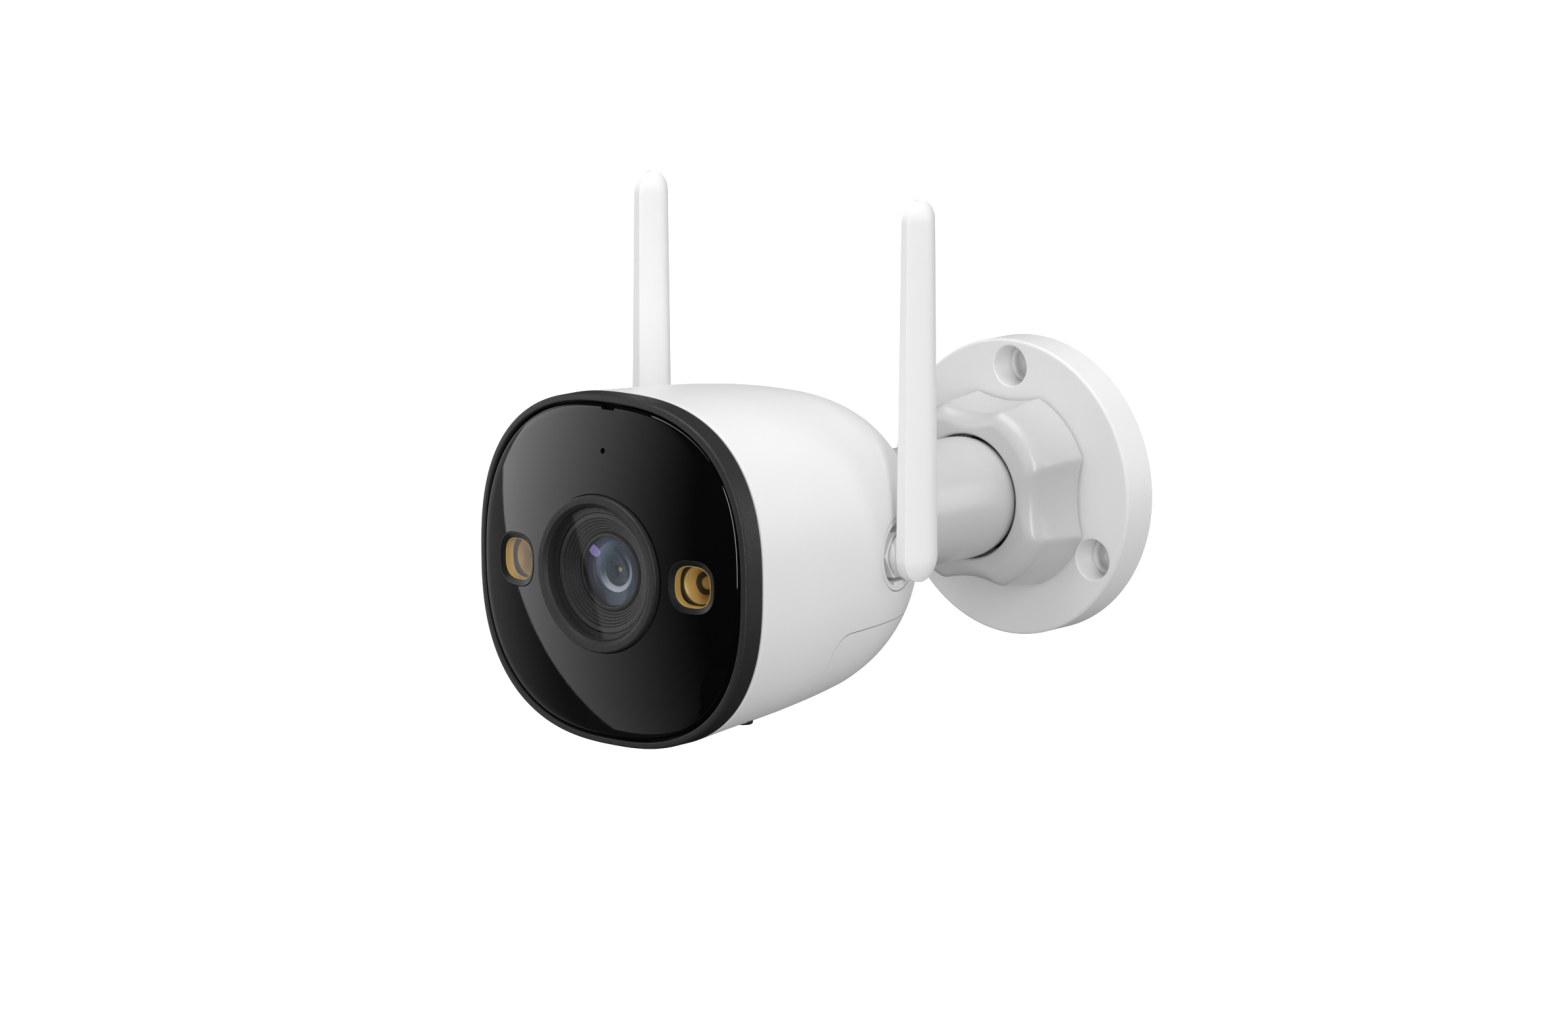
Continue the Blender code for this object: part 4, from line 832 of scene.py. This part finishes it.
def make_panel():
    """A domed panel with a rounded rim, open for the lens ring, the lights, the microphone and the notch."""
    edge = 0.8 * MM
    bore = circle(RING_RADIUS + 0.2 * MM, 0.0, FINE * 2)
    outer = front_outline(PANEL_HALF, inset=edge)
    rings = [domed([a.lerp(b, share) for a, b in zip(bore, outer)], 0.0) for share in np.linspace(0, 1, 16)]
    for angle in np.linspace(0, QUARTER, 7)[1:]:
        rim = front_outline(PANEL_HALF, inset=edge * (1 - sin(angle)))
        rings.append(domed(rim, edge * (1 - cos(angle))))
    rings += [domed(front_outline(PANEL_HALF), PANEL_THICK), domed(bore, PANEL_THICK)]
    panel = as_object("front_panel_fine", skin(rings, closed=True))
    low, high = -12 * MM, 3 * MM
    cutters = [moved(rod(MIC_HOLE_RADIUS, low, high), at(0, MIC_UP, PANEL_APEX))]
    top = PANEL_HALF * BODY_ASPECT
    wide, narrow = (NOTCH_WIDTH + NOTCH_DEPTH) / 2, (NOTCH_WIDTH - NOTCH_DEPTH) / 2
    notch = filleted([(-narrow, top - NOTCH_DEPTH, 0.3 * MM), (narrow, top - NOTCH_DEPTH, 0.3 * MM),
                      (wide, top + NOTCH_DEPTH, 0), (-wide, top + NOTCH_DEPTH, 0)])
    cutters.append(skin([[Vector((x, y, PANEL_APEX + z)) for x, y in notch] for z in (high, low)]))
    opening = LIGHT_HALF + 0.12 * MM
    for _, sign in SIDES:
        rings = [squircle(opening, opening, LIGHT_SQUARENESS, z, ROUND) for z in (3 * MM, -5 * MM)]
        cutters.append(moved(skin(rings), light_place(sign)))
    carve(panel, joined(cutters))
    finish_piece(panel, "front_panel", even=False, sharp=30)


def light_place(sign):
    """Where a light sits on the domed panel, turned to face out of it."""
    slope = degrees(asin(LIGHT_OFFSET / PANEL_DOME_RADIUS))
    return at(sign * LIGHT_OFFSET, 0, panel_surface(LIGHT_OFFSET), sign * slope, "Y")


def make_light(side, sign):
    """A bevelled black frame, a lined mouth with a clear pane, and a stepped reflector round its emitter."""
    place = light_place(sign)
    half = LIGHT_GLASS_HALF
    bevel, frame_back, liner_back = 0.6 * MM, -3.2 * MM, -2.5 * MM
    rim = framed(filleted([
        (LIGHT_HALF, 0.0, 0.12 * MM),
        (LIGHT_HALF, frame_back, 0),
        (half, frame_back, 0),
        (half, -bevel, 0.08 * MM),
        (LIGHT_HALF - 0.15 * MM, 0.0, 0.1 * MM),
    ]))
    make_piece(f"light_frame_{side}", moved(rim, place), SMOOTH_BLACK)
    outer, inner, front = half - 0.03 * MM, half - 0.18 * MM, -bevel - 0.05 * MM
    mouth = moved(framed([(outer, front), (outer, liner_back), (inner, liner_back), (inner, front)]), place)
    make_extra(f"light_liner_{side}", mouth, LOOKS["amber"], f"light_reflector_{side}")
    glass = inner - 0.03 * MM
    pane = [(glass - 0.1 * MM, -0.9 * MM), (glass, -1.0 * MM), (glass, -1.3 * MM)]
    window = skin([squircle(a, a, LIGHT_SQUARENESS, z, ROUND) for a, z in pane])
    make_piece(f"light_window_{side}", moved(window, place))

    bowl_out, throat, floor = -3.5 * MM, -5.7 * MM, -6.3 * MM
    wide, narrow, chip = 3.95 * MM, 2.45 * MM, 1.35 * MM
    bore, flange = wide + 0.05 * MM, half + 0.3 * MM
    front, back = bowl_out + 0.15 * MM, bowl_out - 0.6 * MM
    baffle = lathed([
        (bore, front, 0.05 * MM), (flange, front, 0), (flange, back, 0), (bore, back, 0),
    ], ROUND)
    edge, back = narrow + 0.5 * MM, floor - 0.8 * MM
    step = lathed([
        (0, floor, 0), (chip, floor, 0.1 * MM), (narrow + 0.1 * MM, throat, 0.1 * MM),
        (edge, throat - 0.1 * MM, 0), (edge, back, 0), (0, back, 0),
    ], ROUND)
    # Painted shade: the baffle and step are dark to stand in for the ring of shade round the emitter.
    dark = moved(joined([baffle, step]), place)
    make_piece(f"light_board_{side}", dark, PAINTED_SHADE_DARK)
    inside = [(wide + (narrow - wide) * t**0.85, bowl_out + (throat - bowl_out) * t**1.2)
              for t in np.linspace(0, 1, 12)]
    outside = [(radius + 0.35 * MM, z - 0.25 * MM) for radius, z in reversed(inside)]
    bowl = moved(turned(inside + outside, ROUND), place)
    make_piece(f"light_reflector_{side}", bowl, even=False)
    rise, base = 0.15 * MM, floor + 0.02 * MM
    dome = [(chip * sin(a), floor + rise + 0.4 * MM * cos(a)) for a in np.linspace(0, QUARTER, 8)]
    emitter = moved(turned(dome + [(chip, base), (0, base)], ROUND), place)
    make_piece(f"light_emitter_{side}", emitter)


# ---- lens -----------------------------------------------------------------
def make_lens_ring():
    """The ring round the lens and the flat window that it holds."""
    glass_bore = WINDOW_RADIUS + 0.25 * MM
    ring = lathed([
        (RING_RADIUS, RING_FRONT, 0.5 * MM),
        (RING_RADIUS, RING_BACK, 0),
        (LENS_BORE, RING_BACK, 0),
        (LENS_BORE, LENS_SEAT, 0),
        (glass_bore, LENS_SEAT, 0),
        (glass_bore, RING_FRONT - 0.7 * MM, 0.1 * MM),
        (glass_bore + 0.75 * MM, RING_FRONT, 0.25 * MM),
    ], steps=5)
    make_piece("lens_ring", ring)
    window = lathed([
        (0, WINDOW_FRONT, 0), (WINDOW_RADIUS, WINDOW_FRONT, 0.2 * MM), (WINDOW_RADIUS, WINDOW_BACK, 0),
        (0, WINDOW_BACK, 0),
    ])
    make_piece("lens_window", window)


def make_lens_cone():
    """The shade behind the window, stepped in ribs down to the barrel."""
    top = LENS_SEAT - 0.25 * MM
    back = span("lens_cone")[0].z
    outer = LENS_BORE - 0.25 * MM
    first, inner = 11.7 * MM, BARREL_RADIUS + 0.15 * MM
    ribs = 6
    groove = 0.5 * MM
    tread = (first - inner) / ribs
    riser = 2.3 * MM / ribs
    corners = [(outer, top, 0), (outer, back, 0), (inner, back, 0)]
    for i in range(ribs):
        radius, z = inner + tread * i, top - riser * (ribs - i)
        corners += [
            (radius, z, 0),
            (radius + tread * 0.3, z - groove, 0.02 * MM),
            (radius + tread * 0.6, z + riser, 0.04 * MM),
            (radius + tread * 0.9, z + riser, 0.04 * MM),
        ]
    corners.append((first, top, 0.1 * MM))
    make_piece("lens_cone", lathed(corners, steps=2), LENS_BLACK, sharp=45)


def make_lens_barrel():
    """The barrel, with a blue baffle and a retaining ring that show inside it; the ring's dark and light
    sides are a painted reflection.
    """
    ledge = LENS_LEDGE
    throat, lip = 5.0 * MM, 6.1 * MM
    barrel = lathed([
        (BARREL_RADIUS, BARREL_FRONT, 0.25 * MM),
        (BARREL_RADIUS, BARREL_BACK, 0),
        (throat, BARREL_BACK, 0),
        (throat, ledge - 0.3 * MM, 0),
        (lip, ledge - 0.25 * MM, 0.05 * MM),
        (6.15 * MM, ledge - 0.05 * MM, 0.05 * MM),
        (POCKET_RADIUS, ledge, 0),
        (POCKET_RADIUS, BARREL_FRONT, 0.15 * MM),
    ])
    make_piece("lens_barrel", barrel, SMOOTH_BLACK)
    edge = POCKET_RADIUS - 0.05 * MM
    baffle = lathed([
        (edge, ledge + 0.25 * MM, 0.05 * MM),
        (edge, ledge, 0),
        (RETAINER_RADIUS, ledge - 0.5 * MM, 0),
        (RETAINER_RADIUS, ledge - 0.2 * MM, 0.1 * MM),
        (5.6 * MM, ledge - 0.05 * MM, 0.1 * MM),
        (5.7 * MM, ledge + 0.17 * MM, 0.05 * MM),
    ], steps=2)
    make_extra("lens_baffle", baffle, LENS_BLUE, "lens_barrel", sharp=45)
    edge, bore = RETAINER_RADIUS + 0.05 * MM, 3.4 * MM
    retainer = lathed([
        (edge, ledge - 0.15 * MM, 0.1 * MM), (edge, ledge - 0.9 * MM, 0), (bore, ledge - 1.1 * MM, 0),
        (bore, ledge - 0.75 * MM, 0.1 * MM),
    ])
    # The retaining ring carries a painted reflection: its colour grades from dark to light across it.
    make_extra("lens_retainer", retainer, LENS_SILVER_PAINTED_REFLECTION, "lens_barrel")


def make_lens_glass():
    """The domed front element and a hollow one behind it."""
    rise = 2.1 * MM
    bow = (ELEMENT_RADIUS**2 + rise**2) / (2 * rise)
    base, flat = ELEMENT_BACK + 0.35 * MM, ELEMENT_BACK + 0.2 * MM
    dome = [(bow * sin(a), base + rise - bow + bow * cos(a))
            for a in np.linspace(0, asin(ELEMENT_RADIUS / bow), 24)]
    element = turned(dome + [(ELEMENT_RADIUS, flat), (0, flat)])
    make_piece("front_element", element, even=False)
    curve = 20.0 * MM
    hollow = ELEMENT_BACK - 0.95 * MM
    sag = [(r, hollow + curve - sqrt(curve**2 - r**2))
           for r in np.linspace(0, ELEMENT_RADIUS - 0.1 * MM, 20)]
    under = [(r, z - 0.25 * MM) for r, z in reversed(sag)]
    make_extra("inner_element", turned(sag + under), INNER_GLASS, "front_element", even=False)


def make_lens_iris():
    """The dark stepped iris and the small warm glint in its middle."""
    floor = LENS_LEDGE - 1.75 * MM
    back = floor - 0.7 * MM
    rings = [(0, floor, 0), (PUPIL_RADIUS, floor, 0)]
    for i in range(4):
        radius = PUPIL_RADIUS + i * 0.6 * MM
        z = floor + 0.15 * MM + i * 0.2 * MM
        rings += [(radius, z, 0.04 * MM), (radius + 0.5 * MM, z + 0.05 * MM, 0.06 * MM)]
    rings += [(IRIS_RADIUS, LENS_LEDGE - 0.8 * MM, 0.05 * MM), (IRIS_RADIUS, back, 0), (0, back, 0)]
    make_extra("lens_iris", lathed(rings, steps=2), LENS_IRIS, "lens_barrel", sharp=45)
    glint = turned([
        (0, floor + 0.25 * MM), (0.3 * MM, floor + 0.18 * MM), (0.5 * MM, floor + 0.05 * MM),
        (0, floor + 0.02 * MM),
    ], SMALL)
    make_extra("lens_pupil", glint, LOOKS["amber"], "lens_barrel")


# ---- antennas -------------------------------------------------------------
def blade_ring(share, side):
    """A stadium that narrows to the tip, drawn in by a share of its width; side is -1 or 1 for its face."""
    steps = 28
    shrink = 1 - share
    lift = ANTENNA_CROWN * (1 - shrink**2.2)
    ring = []
    ends = ((0.0, ANTENNA_BASE_RADIUS, pi), (ANTENNA_LENGTH, ANTENNA_TIP_RADIUS, 0))
    for centre, radius, start in ends:
        for i in range(steps + 1):
            angle = start + pi * i / steps
            up = centre + radius * shrink * sin(angle)
            along = min(max(up / ANTENNA_LENGTH, 0), 1)
            edge = ANTENNA_EDGE_BASE + (ANTENNA_EDGE_TIP - ANTENNA_EDGE_BASE) * along
            ring.append(Vector((side * (edge / 2 + lift), up, -radius * shrink * cos(angle))))
    return ring


def make_antenna(side, sign):
    """A crowned blade on the hub and stem that turn in the collar."""
    outer = [blade_ring(share, 1) for share in reversed(ANTENNA_INSETS)]
    inner = [blade_ring(share, -1) for share in ANTENNA_INSETS]
    place = at(sign * ANTENNA_X, 0, ANTENNA_OUT, 0 if sign > 0 else 180, "Y")
    blade = as_object(f"antenna_{side}_fine", moved(skin(outer + inner), place))
    hub_low = COLLAR_TOP + 0.3 * MM - ANTENNA_X
    stem_low = span("antenna_right")[0].x - ANTENNA_X
    hub = lathed([
        (0, 0, 0), (HUB_RADIUS, 0, 0), (HUB_RADIUS, hub_low, 0.35 * MM), (STEM_RADIUS, hub_low, 0.2 * MM),
        (STEM_RADIUS, stem_low, 0.3 * MM), (0, stem_low, 0),
    ], ROUND)
    carve(blade, moved(hub, place @ at(turn=90, axis="Y")), "UNION")
    # Painted light: the blade gets the lighter copy of the white plastic.
    finish_piece(blade, f"antenna_{side}", WHITE_WITH_PAINTED_LIGHT, even=False, sharp=40)


def make_collar(side, place):
    """The six-sided collar round an antenna's stem."""
    hexagon = [polar(COLLAR_RADIUS, radians(60 * k)) for k in range(6)]
    prism = skin([[Vector((x, y, z)) for x, y in hexagon] for z in (COLLAR_TOP, COLLAR_BACK)])
    collar = as_object(f"antenna_collar_{side}_fine", moved(prism, place))
    carve(collar, moved(rod(STEM_BORE, 0, 50 * MM, ROUND), place))
    soften = collar.modifiers.new("soft_edges", "BEVEL")
    soften.width = 0.15 * MM
    soften.segments = 2
    soften.limit_method = "ANGLE"
    soften.angle_limit = radians(40)
    finish_piece(collar, f"antenna_collar_{side}")


def make_socket(side, sign, place):
    """The round pocket in the casing's side, trimmed to the casing, with the block that stops the collar."""
    floor = SOCKET_BACK + 1.4 * MM
    cup = SOCKET_RADIUS - SOCKET_WALL
    pocket = lathed([
        (SOCKET_RADIUS, ANTENNA_X, 0), (SOCKET_RADIUS, SOCKET_BACK, 0.3 * MM), (STEM_BORE, SOCKET_BACK, 0),
        (STEM_BORE, floor, 0), (cup, floor, 0.4 * MM), (cup, ANTENNA_X, 0),
    ], ROUND)
    socket = as_object(f"antenna_socket_{side}_fine", moved(pocket, place))
    carve(socket, body_blank(0.1 * MM), "INTERSECT")
    long, short, rounding = 1.6 * MM, 0.8 * MM, 0.3 * MM
    block = filleted([(-long, -short, rounding), (long, -short, rounding), (long, short, rounding),
                      (-long, short, rounding)])
    reach = (floor - 0.7 * MM, COLLAR_TOP - 0.9 * MM)
    stop = skin([[Vector((sign * x, y, z)) for z, y in block] for x in reach])
    carve(socket, moved(stop, at(0, -(COLLAR_RADIUS + 1.1 * MM), ANTENNA_OUT)), "UNION")
    finish_piece(socket, f"antenna_socket_{side}", sharp=40)


# ---- stage ----------------------------------------------------------------
def make_view():
    """A long lens, from the right and a little above."""
    place = Vector((0.8412, -1.0663, 0.2396))
    azimuth, elevation = radians(40.616), radians(10.254)
    lens = bpy.data.cameras.new("view")
    lens.lens = 142.52
    lens.sensor_width = 36.0
    lens.clip_end = 100.0
    view = linked(bpy.data.objects.new("view", lens))
    view.location = place
    view.rotation_euler = (pi / 2 - elevation, 0, azimuth)
    bpy.context.scene.camera = view


def flat_card(name, outline, centre, facing):
    """A flat panel of points (right, up), standing at centre and facing along facing."""
    toward = Vector(facing).normalized()
    right = Vector((0, 0, 1)).cross(toward).normalized()
    up = toward.cross(right)
    bm = bmesh.new()
    bm.faces.new([bm.verts.new(Vector(centre) + right * a + up * b) for a, b in outline])
    card = mesh_object(name, bm)
    return card


def make_floor():
    """A pale floor, clear from below so that the part can be seen from there."""
    reach = FLOOR_REACH
    corners = [(-reach, -reach), (reach, -reach), (reach, reach), (-reach, reach)]
    floor = flat_card("floor", corners, (0, 0, FLOOR_HEIGHT), (0, 0.001, 1))
    made, tree, shader = new_material("pale_floor")
    set_sockets(shader, {"Base Color": (0.9, 0.9, 0.9, 1), "Roughness": 1.0,
                         "Emission Color": (1, 1, 1, 1), "Emission Strength": 0.9})
    side = add_node(tree, "NewGeometry")
    clear = add_node(tree, "BsdfTransparent")
    both = add_node(tree, "MixShader", {"Fac": (side, "Backfacing"), 1: (shader, "BSDF"), 2: (clear, "BSDF")})
    set_sockets(tree.nodes["Material Output"], {"Surface": (both, "Shader")})
    floor.data.materials.append(made)
    floor.visible_glossy = False
    floor.visible_diffuse = False


def make_world():
    """White behind the part, soft light all round, and nothing for polished surfaces to mirror."""
    world = bpy.data.worlds.new("studio")
    bpy.context.scene.world = world
    world.use_nodes = True
    tree = world.node_tree
    path = add_node(tree, "LightPath")
    seen = add_node(tree, "MapRange", {"To Min": WORLD_FILL, "To Max": BACKDROP,
                                       "Value": (path, "Is Camera Ray")})
    dim = add_node(tree, "Math", {0: (seen, "Result"), 1: (path, "Is Glossy Ray")}, operation="SUBTRACT",
                   use_clamp=True)
    where = add_node(tree, "TexCoord")
    axes = add_node(tree, "SeparateXYZ", {"Vector": (where, "Generated")})
    shade = add_node(tree, "MapRange", {"From Min": -0.8, "From Max": 0.6, "To Min": 1.15, "To Max": 1.1,
                                        "Value": (axes, "Z")})
    set_sockets(tree.nodes["Background"], {"Strength": (dim, "Value"), "Color": (shade, "Result")})


def area(name, place, target, size, power):
    lamp = bpy.data.lights.new(name, "AREA")
    lamp.shape = "RECTANGLE"
    lamp.size, lamp.size_y = size
    lamp.energy = power
    item = linked(bpy.data.objects.new(name, lamp))
    item.location = place
    item.rotation_euler = (Vector(target) - Vector(place)).to_track_quat("-Z", "Y").to_euler()


def make_lights():
    middle = (0, -0.08, 0)
    area("key", (1.02, -0.80, 0.30), middle, (0.24, 1.1), 6.8)
    area("rim", (0.80, 0.85, 0.20), middle, (0.6, 0.6), 2.2)
    area("top", (0.0, -0.25, 1.1), middle, (1.0, 0.8), 8.3)


def disc(radius, count):
    return [polar(radius, a) for a in np.linspace(0, 2 * pi, count + 1)[:-1]]


def fade_card(card, name, left, right, bright, dark, bend):
    """Light that falls from bright to dark from the viewer's left to right, and weakens towards the floor."""
    made, tree, shader = new_material(name)
    tree.nodes.remove(shader)
    where = add_node(tree, "TexCoord")
    across = (0.7926, -0.6097, 0)
    along = add_node(tree, "VectorMath", {0: (where, "Object"), 1: across}, operation="DOT_PRODUCT")
    ramp = add_node(tree, "MapRange", {"From Min": right, "From Max": left, "Value": (along, "Value")})
    power = add_node(tree, "Math", {0: (ramp, "Result"), 1: bend}, operation="POWER")
    strength = add_node(tree, "MapRange", {"To Min": dark, "To Max": bright, "Value": (power, "Value")})
    axes = add_node(tree, "SeparateXYZ", {"Vector": (where, "Object")})
    lower = add_node(tree, "MapRange", {"From Min": -0.45, "From Max": 0.10, "To Min": 0.55, "To Max": 1.04,
                                        "Value": (axes, "Z")})
    both = add_node(tree, "Math", {0: (strength, "Result"), 1: (lower, "Result")}, operation="MULTIPLY")
    glow = add_node(tree, "Emission", {"Strength": (both, "Value")})
    set_sockets(tree.nodes["Material Output"], {"Surface": (glow, "Emission")})
    card.data.materials.append(made)


def make_flag(place, toward):
    """A black card that keeps the softbox off the flat window before the lens."""
    flag = flat_card("flag", [(0.07, 0.0), (0.07, -0.14), (-0.029, -0.14), (0.007, 0.0)], place, toward)
    made, _, shader = new_material("flag_black")
    set_sockets(shader, {"Base Color": (0, 0, 0, 1), "Specular IOR Level": 0.0})
    flag.data.materials.append(made)
    return flag


def make_violet_spot():
    """A small violet light that only the inner lens element mirrors."""
    spot = flat_card("violet_spot", disc(SPOT_RADIUS, 60), SPOT_PLACE, -SPOT_PLACE)
    made, _, shader = new_material("violet_spot_glow")
    set_sockets(shader, {"Base Color": (0, 0, 0, 1), "Emission Color": (0.62, 0.40, 1.0, 1),
                         "Emission Strength": 14.0})
    spot.data.materials.append(made)
    mirrors = bpy.data.collections.new("spot_mirrors")
    mirrors.objects.link(bpy.data.objects["inner_element"])
    spot.light_linking.receiver_collection = mirrors
    return spot


def make_cards():
    """The round softbox that the domed face mirrors, a dim one beside it, the flag and the violet spot."""
    toward = Vector((0.6, 0.78, 0.1)).normalized()
    centre = -toward
    right = Vector((0, 0, 1)).cross(centre).normalized()
    up = centre.cross(right)
    middle = centre + right * SOFTBOX_RIGHT + up * SOFTBOX_UP
    box = flat_card("softbox", disc(SOFTBOX_RADIUS, 180), middle, toward)
    fade_card(box, "softbox_glow", -0.356, 0.34, 3.1, 0.01, 1.5)
    wall = [(-1.3, -0.9), (1.3, -0.9), (1.3, 0.9), (-1.3, 0.9)]
    back = flat_card("side_box", wall, centre * 1.06 - right * 0.6, toward)
    fade_card(back, "side_glow", -0.62, -0.20, 1.3, 0.12, 1.4)
    for card in (box, back, make_flag(centre * 0.99, toward), make_violet_spot()):
        card.visible_camera = False
        card.visible_diffuse = False
        card.visible_shadow = False


# ---- all of it ------------------------------------------------------------
def main():
    make_view()
    make_wall_plate()
    make_lock_nut()
    make_neck()
    make_body()
    make_bezel()
    make_panel()
    for side, sign in SIDES:
        make_light(side, sign)
        make_antenna(side, sign)
        sideways = at(0, 0, ANTENNA_OUT, 90 * sign, "Y")
        make_collar(side, sideways)
        make_socket(side, sign, sideways)
        make_screw(f"hatch_screw_{side}")
        make_screw(f"case_screw_{side}")
    make_screw("neck_screw")
    make_lens_ring()
    make_lens_cone()
    make_lens_barrel()
    make_lens_glass()
    make_lens_iris()
    for node, item in frame["nodes"].items():
        item.data.materials.clear()
        item.data.materials.append(LOOKS[SLOT_OF[node]])
    make_floor()
    make_world()
    make_lights()
    make_cards()
    bpy.context.scene.view_settings.view_transform = "Standard"


main()
